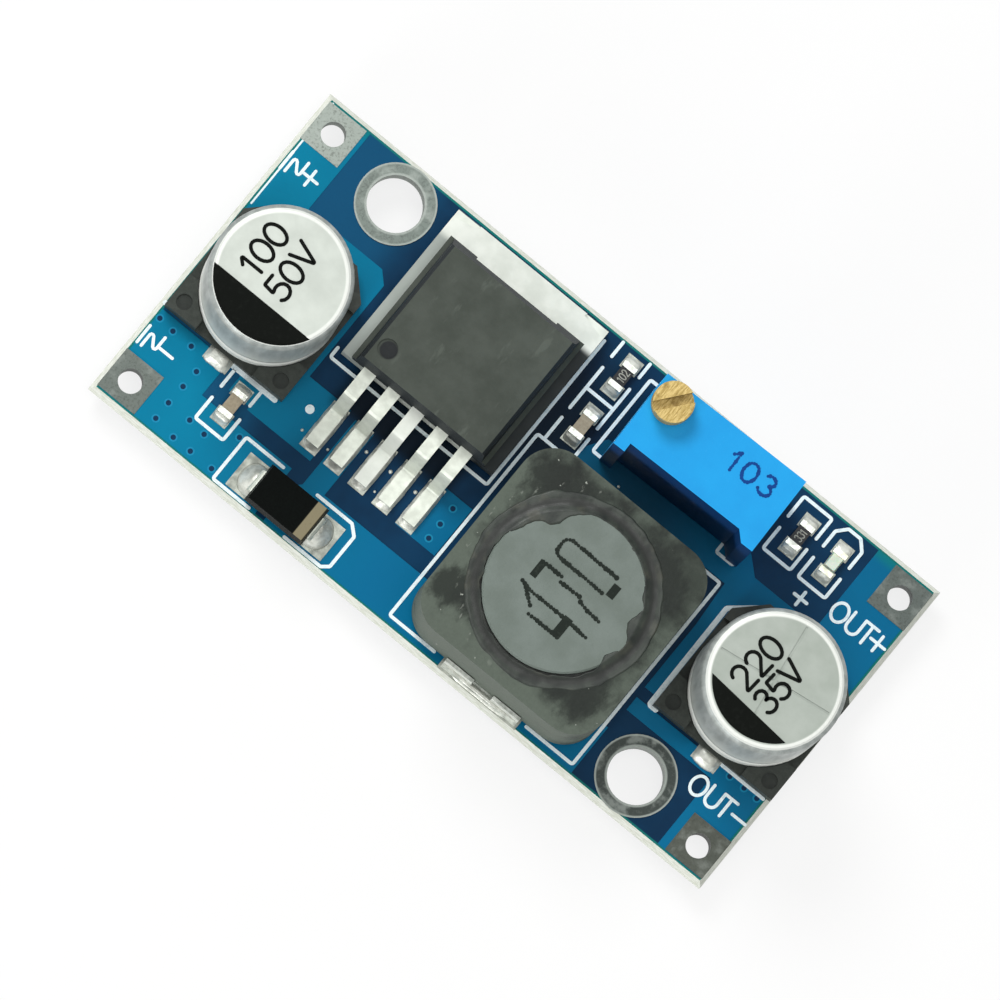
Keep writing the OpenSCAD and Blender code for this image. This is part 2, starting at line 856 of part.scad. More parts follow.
// The coil, whose outside shows the turns of its wire
module inductor_winding() {
    inner = drum_post_d / 2 + seat_gap;
    outer = drum_d / 2 - winding_inset;
    step = (winding_h - seat_gap) / winding_turns;
    color("#b4693a")
        on_board(inductor_at)
            translate([0, 0, clip_t + flange_t])
                rotate_extrude()
                    polygon([
                        [inner, seat_gap / 2],
                        for (i = [0 : winding_turns - 1], a = [0 : 45 : 180])
                            [outer + wire_d / 2 * sin(a), seat_gap / 2 + step * (i + (1 - cos(a)) / 2)],
                        [inner, winding_h - seat_gap / 2]
                    ]);
}

// The ring of glue that fills the window round the drum core's upper flange
module inductor_glue() {
    color("#1f2422")
        on_board(inductor_at)
            difference() {
                translate([0, 0, glue_floor])
                    cylinder(h = glue_z - glue_floor, d = window_d);
                translate([0, 0, -cut])
                    cylinder(h = shield_h + 2 * cut, d = drum_d);
            }
}

// One terminal: a foot under the shield with two ears folded up its side
module inductor_clip() {
    side = shield_w / 2;
    translate([0, side + clip_out - clip_foot / 2, 0])
        block([clip_l, clip_foot, clip_t]);
    both_x()
        translate([(clip_l - clip_ear_w) / 2, side + seat_gap + clip_t / 2, 0])
            block([clip_ear_w, clip_t, clip_ear_h]);
}

module inductor_clips() {
    color("#c6c4ba")
        on_board(inductor_at)
            both_y()
                inductor_clip();
}

// ---- Diode ---------------------------------------------------------------

// A lead that leaves the body's end and folds down and back under it
module diode_lead() {
    t = diode_lead_t;
    end = diode_l / 2 + t / 2 + seat_gap;
    inside = diode_l / 2 - diode_lead_in;
    mid = diode_h / 2;
    strip(bent([[inside, mid], [end, mid], [end, t / 2], [inside, t / 2]], t), t, diode_lead_w);
}

module diode_body() {
    foot = diode_lead_t / 2;
    size = [diode_w, diode_l, diode_h - foot];
    color("#232426")
        on_board(diode_at, 90)
            difference() {
                translate([0, 0, foot])
                    drafted(size, diode_h / 2 - foot, diode_draft, diode_draft);
                both_y()
                    diode_lead();
            }
}

module diode_leads() {
    color("silver")
        on_board(diode_at, 90)
            both_y()
                diode_lead();
}

// ---- Chip parts ----------------------------------------------------------

// The body of a chip part, which its metal ends wrap round
module chip_body(h) {
    t = chip_plate_t;
    block([chip_w - 2 * t, chip_l - 2 * t, h - 2 * t], t);
}

module chip_ends(h) {
    both_y()
        difference() {
            translate([0, chip_l / 2 - chip_end / 2, 0])
                block([chip_w, chip_end, h]);
            chip_body(h);
        }
}

module bypass_cap() {
    color("#b08a6a")
        on_board(bypass_at)
            chip_body(chip_cap_h);
}

module bypass_cap_ends() {
    color("silver")
        on_board(bypass_at)
            chip_ends(chip_cap_h);
}

module feedback_cap() {
    color("#b08a6a")
        on_board(feedback_at)
            chip_body(chip_cap_h);
}

module feedback_cap_ends() {
    color("silver")
        on_board(feedback_at)
            chip_ends(chip_cap_h);
}

module divider_resistor() {
    color("#1d1f22")
        on_board(divider_at)
            chip_body(chip_res_h);
}

module divider_resistor_ends() {
    color("silver")
        on_board(divider_at)
            chip_ends(chip_res_h);
}

module lamp_resistor() {
    color("#1d1f22")
        on_board(lamp_resistor_at)
            chip_body(chip_res_h);
}

module lamp_resistor_ends() {
    color("silver")
        on_board(lamp_resistor_at)
            chip_ends(chip_res_h);
}

module lamp_base() {
    color("#e8ead8")
        on_board(lamp_at)
            chip_body(lamp_base_h);
}

module lamp_lens() {
    size = [chip_w - 2 * chip_plate_t, chip_l - 2 * chip_end - bit, lens_h];
    color("#cfe6c4")
        on_board(lamp_at)
            translate([0, 0, lamp_base_h - chip_plate_t])
                drafted(size, bit, lens_draft, 0);
}

module lamp_ends() {
    color("#d8c27a")
        on_board(lamp_at)
            chip_ends(lamp_base_h);
}

// ---- Trimmer -------------------------------------------------------------

// Puts a piece of the trimmer in place
module in_trimmer() {
    on_board(trimmer_at, trimmer_turn)
        translate([0, 0, -copper_t])
            children();
}

// Outline of the case: two posts and a recess in front
module case_outline() {
    x = case_l / 2;
    y = case_w / 2;
    inner = x - case_post;
    polygon([
        [-x, -y], [-inner, -y], [-inner, case_recess - y],
        [inner - case_recess, case_recess - y], [inner, -y],
        [x, -y], [x, y], [-x, y]
    ]);
}

module at_screw() {
    translate([screw_x, screw_y, 0])
        children();
}

// Puts a shape drawn round Z on the worm wheel's axis, facing the front
module at_wheel() {
    translate([wheel_x, 0, wheel_z])
        rotate([90, 0, 0])
            children();
}

module trimmer_case() {
    color("#2a9fe0")
        in_trimmer()
            difference() {
                union() {
                    difference() {
                        translate([0, 0, case_foot_h])
                            linear_extrude(case_h - case_foot_h)
                                case_outline();
                        translate([0, (cavity_front + cavity_back) / 2, 0])
                            block([case_l - 2 * case_wall, cavity_back - cavity_front, cavity_top]);
                    }
                    // pivot for the worm wheel
                    at_wheel()
                        translate([0, 0, -cavity_back - bit])
                            cylinder(h = cavity_back - hub_front + running_gap, d = pivot_d);
                    // feet
                    for (sx = [-1, 1], sy = [-1, 1])
                        translate([sx * (case_l / 2 - case_post / 2), sy * (case_w / 2 - case_wall / 2), 0])
                            block([case_post, case_wall, case_foot_h + bit]);
                }
                at_screw() {
                    translate([0, 0, cavity_top - cut])
                        cylinder(h = case_roof + 2 * cut, d = neck_d + 2 * running_gap);
                    translate([0, 0, case_h - seal_seat])
                        cylinder(h = cut + seal_seat, d = neck_d + 2 * seal_gap + 2 * seal_d);
                }
            }
}

// The brass screw: slotted head, plain neck and the worm that turns the wheel
module trimmer_screw() {
    color("#b58a3c")
        in_trimmer()
            at_screw() {
                difference() {
                    translate([0, 0, case_h + running_gap])
                        cylinder(h = screw_head_h, d = screw_head_d);
                    translate([0, 0, case_h + running_gap + screw_head_h - slot_depth])
                        rotate(slot_turn)
                            block([screw_head_d + cut, slot_w, slot_depth + cut]);
                }
                translate([0, 0, wheel_z + worm_l / 2])
                    cylinder(h = case_h + running_gap - wheel_z - worm_l / 2 + bit, d = neck_d);
                translate([0, 0, wheel_z - worm_l / 2])
                    worm(worm_l + bit);
            }
}

// A one-start worm with a rounded thread: a circle held off the axis and twisted.
// Its thread has a root facing the wheel at the wheel's own height.
module worm(h) {
    turns = h / worm_pitch;
    at_start = 180 - 360 * worm_l / 2 / worm_pitch;
    linear_extrude(h, twist = -360 * turns, slices = round(turns * 8), segments = 14)
        rotate(at_start)
            translate([worm_depth, 0])
                circle(worm_r, $fn = 14);
}

module trimmer_seal() {
    color("#1c1c1c")
        in_trimmer()
            at_screw()
                translate([0, 0, case_h - seal_seat + seal_d / 2])
                    rotate_extrude()
                        translate([neck_d / 2 + seal_gap + seal_d / 2, 0])
                            circle(d = seal_d, $fn = 24);
}

// The wheel's rim follows the worm's thread, less the running gap
function wheel_outline() = [
    for (i = [0 : wheel_teeth * 8 - 1])
        let (a = i * 45 / wheel_teeth)
        (wheel_r - running_gap + worm_depth * cos(wheel_teeth * a)) * [-cos(a), sin(a)]
];

module trimmer_wheel() {
    rim_back = screw_y + wheel_rim_t / 2;
    color("#e6e2d2")
        in_trimmer()
            difference() {
                union() {
                    at_wheel()
                        translate([0, 0, -rim_back])
                            linear_extrude(wheel_rim_t)
                                polygon(wheel_outline());
                    at_wheel()
                        translate([0, 0, -rim_back])
                            cylinder(h = rim_back - hub_front, r = hub_r);
                }
                at_wheel()
                    translate([0, 0, -cavity_back - cut])
                        cylinder(h = cavity_back - cavity_front + 2 * cut, d = pivot_d + 2 * running_gap);
            }
}

// The spring contact on the wheel's hub, one arm on the track and one on the collector
module trimmer_wiper() {
    color("#c9a24a")
        in_trimmer()
            at_wheel()
                translate([0, 0, -hub_front]) {
                    difference() {
                        cylinder(h = wiper_t, r = hub_r - wiper_t);
                        translate([0, 0, -cut])
                            cylinder(h = 2 * cut + wiper_t, r = pivot_d / 2 + running_gap);
                    }
                    strip([
                        [hub_r - wiper_w, wiper_t / 2],
                        [track_r - track_w / 2, wiper_t / 2],
                        [track_r, hub_gap - track_t - wiper_t / 2 - running_gap]
                    ], wiper_t, wiper_w);
                }
}

module trimmer_ceramic() {
    color("#e9e6dc")
        in_trimmer()
            translate([0, cavity_front + ceramic_t / 2, 0])
                block([
                    case_l - 2 * (case_wall + seat_gap), ceramic_t, cavity_top - case_foot_h - seat_gap
                ], case_foot_h);
}

// The resistance track and the collector ring, printed on the ceramic
module trimmer_track() {
    color("#2a2522")
        in_trimmer()
            at_wheel()
                translate([0, 0, -ceramic_face - track_t]) {
                    rotate((180 - track_angle) / 2)
                        rotate_extrude(angle = track_angle)
                            translate([track_r - track_w / 2, 0])
                                square([track_w, track_t]);
                    rotate_extrude()
                        translate([collector_r, 0])
                            square([collector_w, track_t]);
                }
}

module pin() {
    translate([0, 0, -pin_out - board_t])
        cylinder(h = pin_out + board_t + case_foot_h + pin_grip, d = pin_d);
}

module trimmer_pins() {
    color("silver")
        in_trimmer()
            for (i = [-1 : 1])
                translate([i * pin_pitch, pin_y, 0])
                    pin();
}

// Potting that closes the case from below
module trimmer_sealant() {
    color("#3a3f46")
        in_trimmer()
            difference() {
                translate([0, (ceramic_face + cavity_back) / 2, 0])
                    block([case_l - 2 * case_wall, cavity_back - ceramic_face, sealant_t], case_foot_h);
                for (i = [-1 : 1])
                    translate([i * pin_pitch, pin_y, 0])
                        pin();
            }
}

// Solder in the three pin holes, with a cone round each pin under the board
module trimmer_joints() {
    color("#d4d6d8")
        at_pins()
            rotate_extrude()
                polygon([
                    [pin_d / 2, board_t + copper_t],
                    [pin_hole_r, board_t + copper_t],
                    [pin_hole_r, 0],
                    [pin_hole_r + pin_land_w * 0.9, 0],
                    [pin_d / 2 + pin_land_w * 0.4, -pin_out * 0.45],
                    [pin_d / 2, -pin_out * 0.85]
                ]);
}

circuit_board();
mounting_rings();
terminal_pads();
solder_lands();
input_cap_can();
input_cap_base();
input_cap_leads();
output_cap_can();
output_cap_base();
output_cap_leads();
regulator_body();
regulator_tab();
regulator_leads();
inductor_shield();
inductor_drum();
inductor_winding();
inductor_glue();
inductor_clips();
diode_body();
diode_leads();
bypass_cap();
bypass_cap_ends();
feedback_cap();
feedback_cap_ends();
divider_resistor();
divider_resistor_ends();
lamp_resistor();
lamp_resistor_ends();
lamp_base();
lamp_lens();
lamp_ends();
trimmer_case();
trimmer_screw();
trimmer_seal();
trimmer_wheel();
trimmer_wiper();
trimmer_ceramic();
trimmer_track();
trimmer_pins();
trimmer_sealant();
trimmer_joints();
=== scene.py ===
import math

import bmesh
import bpy
from mathutils import Matrix, Vector, noise


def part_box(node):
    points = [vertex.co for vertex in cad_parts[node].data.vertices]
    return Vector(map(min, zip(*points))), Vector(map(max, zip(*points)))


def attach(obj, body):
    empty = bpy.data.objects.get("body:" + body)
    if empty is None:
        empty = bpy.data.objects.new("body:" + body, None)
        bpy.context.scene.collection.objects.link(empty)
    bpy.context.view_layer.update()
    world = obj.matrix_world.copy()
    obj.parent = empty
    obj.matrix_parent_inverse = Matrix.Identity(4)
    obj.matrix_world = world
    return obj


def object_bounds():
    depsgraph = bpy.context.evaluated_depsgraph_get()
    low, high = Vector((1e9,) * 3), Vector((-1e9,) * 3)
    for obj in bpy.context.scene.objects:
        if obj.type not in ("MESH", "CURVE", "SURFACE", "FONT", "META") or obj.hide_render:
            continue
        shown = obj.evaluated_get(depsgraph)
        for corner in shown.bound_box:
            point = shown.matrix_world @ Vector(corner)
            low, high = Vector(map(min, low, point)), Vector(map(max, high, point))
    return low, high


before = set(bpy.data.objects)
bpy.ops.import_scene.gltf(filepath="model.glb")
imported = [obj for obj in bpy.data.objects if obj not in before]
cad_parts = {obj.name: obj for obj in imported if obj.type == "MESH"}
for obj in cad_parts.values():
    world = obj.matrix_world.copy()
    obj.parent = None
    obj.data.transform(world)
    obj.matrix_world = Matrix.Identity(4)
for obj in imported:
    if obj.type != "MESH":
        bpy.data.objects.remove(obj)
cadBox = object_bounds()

mm = 0.001
# middles of the mounting rings and of the corner terminal at +X, +Y
ringSpots = [(-15, 8), (15, -8)]
padX, padY = 20.05, 8.8
scene = bpy.context.scene
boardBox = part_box("circuit_board")
boardTop = boardBox[1].z / mm
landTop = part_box("regulator_leads")[0].z / mm
print("frame loaded:", len(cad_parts), "nodes")


def nodeBox(node):
    return [Vector(corner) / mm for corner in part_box(node)]


def nodeCentre(node):
    return tuple((a + b) / 2 / mm for a, b in zip(*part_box(node)))


def nodeRadius(node):
    return (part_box(node)[1].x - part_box(node)[0].x) / 2 / mm


def nodeTop(node):
    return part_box(node)[1].z / mm


# ---- node building: one class for a socket, one for a tree, used by materials and geometry

class Signal:
    # a socket that can stand in a sum
    def __init__(self, tree, socket):
        self.tree = tree
        self.socket = socket

    def maths(self, operation, *others):
        values = dict(enumerate((self,) + others))
        return self.tree.node("ShaderNodeMath", {"operation": operation}, values)

    def __add__(self, other):
        return self.maths("ADD", other)

    def __radd__(self, other):
        return self.maths("ADD", other)

    def __sub__(self, other):
        return self.maths("SUBTRACT", other)

    def __rsub__(self, other):
        return self.maths("MULTIPLY_ADD", -1.0, other)

    def __mul__(self, other):
        return self.maths("MULTIPLY", other)

    def __truediv__(self, other):
        return self.maths("DIVIDE", other)

    def __abs__(self):
        return self.maths("ABSOLUTE")

    def above(self, edge, soft=0.02):
        return self.tree.node(
            "ShaderNodeMapRange", {"interpolation_type": "SMOOTHSTEP"},
            {"Value": self, "From Min": edge - soft, "From Max": edge + soft})

    def below(self, edge, soft=0.02):
        return 1 - self.above(edge, soft)

    def largest(self, other):
        return self.maths("MAXIMUM", other)

    def smallest(self, other):
        return self.maths("MINIMUM", other)


class Tree:
    def __init__(self, nodes):
        self.tree = nodes

    def feed(self, socket, value):
        if isinstance(value, Signal):
            self.tree.links.new(value.socket, socket)
        elif isinstance(value, tuple) and socket.type == "RGBA" and len(value) == 3:
            socket.default_value = (*value, 1)
        else:
            socket.default_value = value

    def node(self, kind, settings=None, inputs=None, out=0):
        made = self.tree.nodes.new(kind)
        for key, value in (settings or {}).items():
            setattr(made, key, value)
        for key, value in (inputs or {}).items():
            self.feed(made.inputs[key], value)
        return Signal(self, made.outputs[out]) if len(made.outputs) else made


def colour(code):
    parts = [int(code[i:i + 2], 16) / 255 for i in (1, 3, 5)]
    return tuple(p / 12.92 if p <= 0.04045 else ((p + 0.055) / 1.055) ** 2.4 for p in parts)


class Paint(Tree):
    # a material on object coordinates, with sizes in millimetres
    sockets = {
        "base": "Base Color", "rough": "Roughness", "metal": "Metallic", "coat": "Coat Weight",
        "coatRough": "Coat Roughness", "normal": "Normal", "ior": "IOR",
        "soak": "Subsurface Weight", "soakScale": "Subsurface Scale", "gloss": "Specular IOR Level"}

    def __init__(self, name, **constants):
        self.material = bpy.data.materials.new(name)
        self.material.use_nodes = True
        super().__init__(self.material.node_tree)
        self.tree.nodes.clear()
        self.shader = self.tree.nodes.new("ShaderNodeBsdfPrincipled")
        output = self.tree.nodes.new("ShaderNodeOutputMaterial")
        self.tree.links.new(self.shader.outputs[0], output.inputs[0])
        self.spot = self.node("ShaderNodeTexCoord", out="Object")
        self.set(**constants)

    def set(self, **values):
        for key, value in values.items():
            self.feed(self.shader.inputs[self.sockets[key]], value)

    def noise(self, size, detail=3, rough=0.55, stretch=(1, 1, 1), turn=(0, 0, 0), seed=0):
        place = self.node("ShaderNodeMapping", {}, {
            "Vector": self.spot, "Location": (seed * 3.7, seed * 1.3, seed * 2.1),
            "Rotation": turn, "Scale": tuple(s / size / mm for s in stretch)})
        return self.node("ShaderNodeTexNoise", {}, {
            "Vector": place, "Scale": 1.0, "Detail": detail, "Roughness": rough})

    def axis(self, i):
        return self.node("ShaderNodeSeparateXYZ", {}, {0: self.spot}, out=i) / mm

    def facing(self, i=2):
        normal = self.node("ShaderNodeNewGeometry", out="Normal")
        return self.node("ShaderNodeSeparateXYZ", {}, {0: normal}, out=i)

    def distance(self, x, y):
        across = (self.axis(0) - x).maths("POWER", 2.0) + (self.axis(1) - y).maths("POWER", 2.0)
        return across.maths("SQRT")

    def mix(self, share, first, second):
        first, second = (colour(c) if isinstance(c, str) else c for c in (first, second))
        settings = {"data_type": "RGBA", "clamp_factor": True}
        return self.node("ShaderNodeMix", settings, {0: share, 6: first, 7: second}, out=2)

    def bump(self, height, depth):
        return self.node("ShaderNodeBump", {}, {"Height": height, "Distance": depth * mm, "Strength": 1.0})


# ---- camera, light and floor

view = {
    "spot": (-0.790, -103.932, 895.585),
    "right": (0.7739, 0.6291, 0.0729),
    "up": (-0.6333, 0.7689, 0.0882),
    "back": (-0.0005, -0.1144, 0.9934),
    "lens": 592.0, "sensor": 36,
}
cameraData = bpy.data.cameras.new("camera")
cameraData.lens = view["lens"]
cameraData.sensor_width = view["sensor"]
cameraData.clip_end = 10
camera = bpy.data.objects.new("camera", cameraData)
turnRows = Matrix((view["right"], view["up"], view["back"])).transposed().to_4x4()
camera.matrix_world = Matrix.Translation(Vector(view["spot"]) * mm) @ turnRows
scene.collection.objects.link(camera)
scene.camera = camera
scene.view_settings.view_transform = "Standard"

lamps = {
    # name: place, size and power; all of them face the board
    "key": ((-0.28, 0.20, 0.46), 0.24, 1.85),
    "top": ((0.05, 0.02, 0.60), 0.30, 0.8),
    "front": ((-0.06, -0.46, 0.18), 0.26, 1.1),
}
for lampName, (lampPlace, lampSize, lampPower) in lamps.items():
    lampData = bpy.data.lights.new(lampName, "AREA")
    lampData.shape = "DISK"
    lampData.size = lampSize
    lampData.energy = lampPower
    lamp = bpy.data.objects.new(lampName, lampData)
    lamp.matrix_world = Matrix.Translation(lampPlace) @ (
        -Vector(lampPlace)).to_track_quat("-Z", "Y").to_matrix().to_4x4()
    scene.collection.objects.link(lamp)


def seenRays(tree):
    # 1 for rays from the camera, in a reflection or through glass, 0 for the light that falls on things
    rays = tree.node("ShaderNodeLightPath", out="Is Camera Ray")
    seen = rays
    for rayKind in ("Is Glossy Ray", "Is Transmission Ray"):
        seen = seen.largest(Signal(tree, rays.socket.node.outputs[rayKind]))
    return seen


world = bpy.data.worlds.new("world")
scene.world = world
world.use_nodes = True
sky = Tree(world.node_tree)
sky.tree.nodes.clear()
seen = seenRays(sky)
skyLight = {"ambient": 0.37, "seen": 1.0}
strength = seen * (skyLight["seen"] - skyLight["ambient"]) + skyLight["ambient"]
skyShade = sky.node("ShaderNodeBackground", {}, {"Color": (1.0, 1.0, 1.0), "Strength": strength})
skyOut = sky.tree.nodes.new("ShaderNodeOutputWorld")
sky.tree.links.new(skyShade.socket, skyOut.inputs[0])

floorSize = {"half": 1.5, "white": 0.8}
floorZ = cadBox[0][2]
floorMesh = bpy.data.meshes.new("floor")
half = floorSize["half"]
floorMesh.from_pydata(
    [(-half, -half, floorZ), (half, -half, floorZ), (half, half, floorZ), (-half, half, floorZ)],
    [], [(0, 1, 2, 3)])
floor = bpy.data.objects.new("floor", floorMesh)
scene.collection.objects.link(floor)
floorPaint = Paint("paleFloor", rough=0.9)
floorPaint.set(base=floorPaint.mix(floorPaint.noise(4), "#EDEDEC", "#F1F1F0"))
glow = floorPaint.node("ShaderNodeEmission", {}, {"Color": (1.0, 1.0, 1.0), "Strength": 1.0})
floorMatt = Signal(floorPaint, floorPaint.shader.outputs[0])
floorShade = floorPaint.node("ShaderNodeMixShader", {}, {
    0: seenRays(floorPaint) * floorSize["white"], 1: floorMatt, 2: glow})
floorOut = [n for n in floorPaint.tree.nodes if n.type == "OUTPUT_MATERIAL"][0]
floorPaint.tree.links.new(floorShade.socket, floorOut.inputs[0])
floorMesh.materials.append(floorPaint.material)
print("camera, lamps and floor ready")


# ---- finishes

def dress(paint, *nodes):
    for node in nodes:
        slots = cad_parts[node].data.materials
        slots.clear()
        slots.append(paint.material)


def boardFinish():
    tones = {"navy": "#0A3757", "deep": "#082C48", "light": "#11557C", "dark": "#04121D",
             "edge": "#157870", "glass": "#E4E7DF", "core": "#CFD3C6"}
    size = {"edgeX": 0.42, "edgeY": 0.40, "lightUpTo": -13.5}
    edges = {"x": boardBox[1].x / mm - size["edgeX"], "y": boardBox[1].y / mm - size["edgeY"]}
    # shade painted into the colour beside the regulator's tab
    tabEnd, tabMiddle = nodeBox("regulator_tab")[1].x, nodeCentre("regulator_tab")[1]
    shade = {"inward": 0.48, "up": 2.3, "reach": 4.4, "soft": 2.6}
    p = Paint("solderMask")
    x, y = p.axis(0), p.axis(1)
    face = abs(p.facing()).above(0.93, 0.03)
    mask = p.mix(p.noise(3.5).above(0.5, 0.2), tones["navy"], tones["deep"])
    # lighter towards -X, at the IN end: light painted into the colour
    mask = p.mix(x.below(size["lightUpTo"], 1.2) * 0.8, mask, tones["light"])
    beside = p.distance(tabEnd - shade["inward"], tabMiddle + shade["up"])
    beside = beside.below(shade["reach"], shade["soft"]) * p.facing().above(0.5)
    mask = p.mix(beside * 0.8, mask, tones["dark"])
    mask = p.mix(leadShade(p), mask, tones["dark"])
    rim = (abs(x) - edges["x"]).largest(abs(y) - edges["y"]).above(0, 0.03)
    mask = p.mix(rim * 0.85, mask, tones["edge"])
    glass = p.mix(p.noise(0.5, stretch=(1, 1, 6)).above(0.5, 0.15), tones["glass"], tones["core"])
    p.set(base=p.mix(face, glass, mask), rough=0.62 - face * 0.26, gloss=0.04,
          normal=p.bump(p.noise(0.35, detail=4), 0.012))
    return p


def leadShade(p):
    # shade painted into the colour of the board under the regulator's leads
    low, high = nodeBox("regulator_leads")
    size = {"deep": 3.8, "side": 0.2, "past": 1, "soft": 0.5}
    x, y = p.axis(0), p.axis(1)
    reach = x.above(low.x - size["side"], size["soft"]) * x.below(high.x + size["side"], size["soft"])
    along = y.above(high.y - size["deep"], size["soft"]) * y.below(high.y + size["past"], size["soft"])
    return reach * along * p.facing().above(0.5) * 0.9


def copperMaskFinish():
    tones = {"bright": "#027E9F", "mid": "#026A8E", "dim": "#026791", "green": "#0C7A7C", "dark": "#04121D"}
    size = {"brightUpTo": -20.0, "dimFrom": -3.0, "greenFrom": 9.75, "shadeIn": 2.1, "shadeUp": 0.4,
            "shadeR": 4.0}
    p = Paint("maskOverCopper", rough=0.36, gloss=0.04)
    x, y = p.axis(0), p.axis(1)
    # duller from the IN end on, which is light painted into the colour
    across = p.node("ShaderNodeMapRange", {}, {
        "Value": x, "From Min": size["brightUpTo"], "From Max": size["dimFrom"]})
    base = p.mix(across, tones["bright"], tones["dim"])
    base = p.mix(p.noise(5).above(0.5, 0.25) * 0.5, base, tones["mid"])
    base = p.mix(y.above(size["greenFrom"], 0.35) * 0.8, base, tones["green"])
    # shade painted into the colour in front of the trimmer
    case = nodeBox("trimmer_case")[0]
    front = p.distance(case.x + size["shadeIn"], case.y + size["shadeUp"]).below(size["shadeR"], 2.5)
    base = p.mix(front * p.facing().above(0.5) * 0.55, base, tones["dark"])
    base = p.mix(leadShade(p), base, tones["dark"])
    p.set(base=base, normal=p.bump(p.noise(0.3, detail=4), 0.01))
    return p


def inkFinish(name, light, worn, gloss=0.2):
    p = Paint(name, rough=0.55, gloss=gloss)
    p.set(base=p.mix(p.noise(0.25, detail=4).above(0.62, 0.12), light, worn),
          normal=p.bump(p.noise(0.08), 0.006))
    return p


def metalFinish(name, light, dark, rough, size, depth, metal):
    p = Paint(name, metal=metal)
    patches = p.noise(size, detail=5)
    p.set(base=p.mix(patches.above(0.5, 0.18), light, dark),
          rough=patches * 0.25 + (rough - 0.12),
          normal=p.bump(p.noise(size * 0.3, detail=4), depth))
    return p


def platingFinish():
    # worn tin round the mounting holes, darker on the +X side of the board, which is shade painted into the
    # colour, and with bright rims that are painted highlights
    tones = {"pale": "#717A74", "dark": "#383E3B", "bright": "#9AA19B", "deep": "#565C58"}
    size = {"inner": 1.72, "outer": 2.2}
    p = Paint("ringPlating", metal=0.5, gloss=0.3)
    grain = p.noise(0.16, detail=6, rough=0.7)
    cloud = p.noise(1.1, detail=4, seed=3)
    # darker towards +X: shade painted into the colour
    base = p.mix(p.axis(0).above(0, 1), tones["pale"], tones["dark"])
    base = p.mix(grain.above(0.56, 0.08) * 0.5, base, tones["deep"])
    base = p.mix(cloud.above(0.58, 0.08) * 0.5, base, tones["bright"])
    away = p.distance(*ringSpots[0]).smallest(p.distance(*ringSpots[1]))
    rim = away.below(size["inner"], 0.05).largest(away.above(size["outer"], 0.05))
    # the rims at the hole and at the outer edge are lighter: painted highlights
    base = p.mix(rim * 0.8, base, tones["bright"])
    p.set(base=base, rough=grain * 0.3 + 0.4, normal=p.bump(grain, 0.012))
    return p


def padFinish():
    # each corner's pad has its own tone of worn tin, lightest at -X, +Y and darkest at +X, -Y, which is light
    # and shade painted into the colour
    tones = {"inPlus": "#8E968F", "inMinus": "#5F6661", "outPlus": "#555C58", "outMinus": "#474B44",
             "grime": "#3A3D38", "bright": "#A5ABA5"}
    p = Paint("tinnedPad", metal=0.5, gloss=0.3)
    left, low = p.axis(0).below(0, 1), p.axis(1).below(0, 1)
    # the corner tones are light and shade painted into the colour
    plus = p.mix(left, tones["outPlus"], tones["inPlus"])
    minus = p.mix(left, tones["outMinus"], tones["inMinus"])
    grain = p.noise(0.15, detail=6, rough=0.7)
    cloud = p.noise(0.9, detail=4, seed=5)
    base = p.mix(low, plus, minus)
    base = p.mix(grain.above(0.58, 0.08) * 0.45, base, tones["grime"])
    base = p.mix(cloud.above(0.6, 0.12) * 0.2, base, tones["bright"])
    p.set(base=base, rough=grain * 0.3 + 0.4, normal=p.bump(grain, 0.012))
    return p


def solderFinish():
    p = Paint("solder", metal=0.25, gloss=0.5)
    flow = p.noise(0.45, detail=4, seed=2)
    p.set(base=p.mix(flow.above(0.5, 0.2), "#E0E2D9", "#B7B9AF"),
          rough=flow * 0.3 + 0.2, normal=p.bump(flow, 0.03))
    return p


def canFinish(name, node, topLight, topDark):
    # drawn aluminium, with bands of light and shade painted on the wall over the curl and a highlight painted
    # round the edge of the lid
    size = {"curl": 1.2, "rim": 3.5, "fade": 2.8, "line": 1.5, "lowBand": 1.0}
    centre = nodeCentre(node)
    curl = nodeBox(node)[0].z + size["curl"]
    p = Paint(name)
    z = p.axis(2)
    up = p.facing().above(0.9, 0.06)
    rim = p.distance(centre[0], centre[1]).above(size["rim"], 0.06)
    drawn = p.noise(0.45, detail=5, stretch=(1, 1, 0.12), seed=1)
    lid = p.mix(p.noise(1.6, seed=3).above(0.5, 0.25), topLight, topDark)
    wall = p.mix(drawn.above(0.5, 0.2), "#A6ACA9", "#8A908D")
    wall = p.mix(z.below(curl + size["fade"], size["fade"]), wall, "#D6DAD3")
    wall = p.mix((1 - abs(z - curl - size["line"]).above(0.3, 0.2)) * 0.4, wall, "#7D837F")
    low = z.below(curl + size["lowBand"], 0.2)
    wall = p.mix(low, wall, "#D9DCD6")
    # the outer edge of the lid is lighter: a painted highlight
    p.set(base=p.mix(up, wall, p.mix(rim, lid, "#DDE0DA")), metal=0.4 - up * 0.25 - low * 0.25,
          rough=0.42 + drawn * 0.1, gloss=0.3, normal=p.bump(p.noise(0.12, detail=3), 0.004))
    return p


def mouldedFinish(name, light, dark, rough, size, depth):
    p = Paint(name, gloss=0.25)
    grain = p.noise(size, detail=6, rough=0.65)
    p.set(base=p.mix(grain.above(0.5, 0.2), dark, light), rough=grain * 0.2 + (rough - 0.1),
          normal=p.bump(grain, depth))
    return p


def tabFinish():
    # matt tin, with shade painted into the strips beside the body
    tones = {"top": "#DDE1D9", "cloud": "#D0D5CC", "left": "#9CA39D", "right": "#1E2424"}
    low, high = nodeBox("regulator_body")
    p = Paint("tabMetal", metal=0.2, gloss=0.3)
    cloud = p.noise(1.2, detail=4)
    base = p.mix(cloud.above(0.5, 0.2), tones["top"], tones["cloud"])
    beside = p.axis(1).below(high.y - 0.05, 0.25)
    base = p.mix(beside * p.axis(0).below(low.x + 1, 0.5), base, tones["left"])
    base = p.mix(beside * p.axis(0).above(high.x - 1, 0.5), base, tones["right"])
    p.set(base=base, rough=0.45 + cloud * 0.2, normal=p.bump(p.noise(0.3, detail=4), 0.004))
    return p


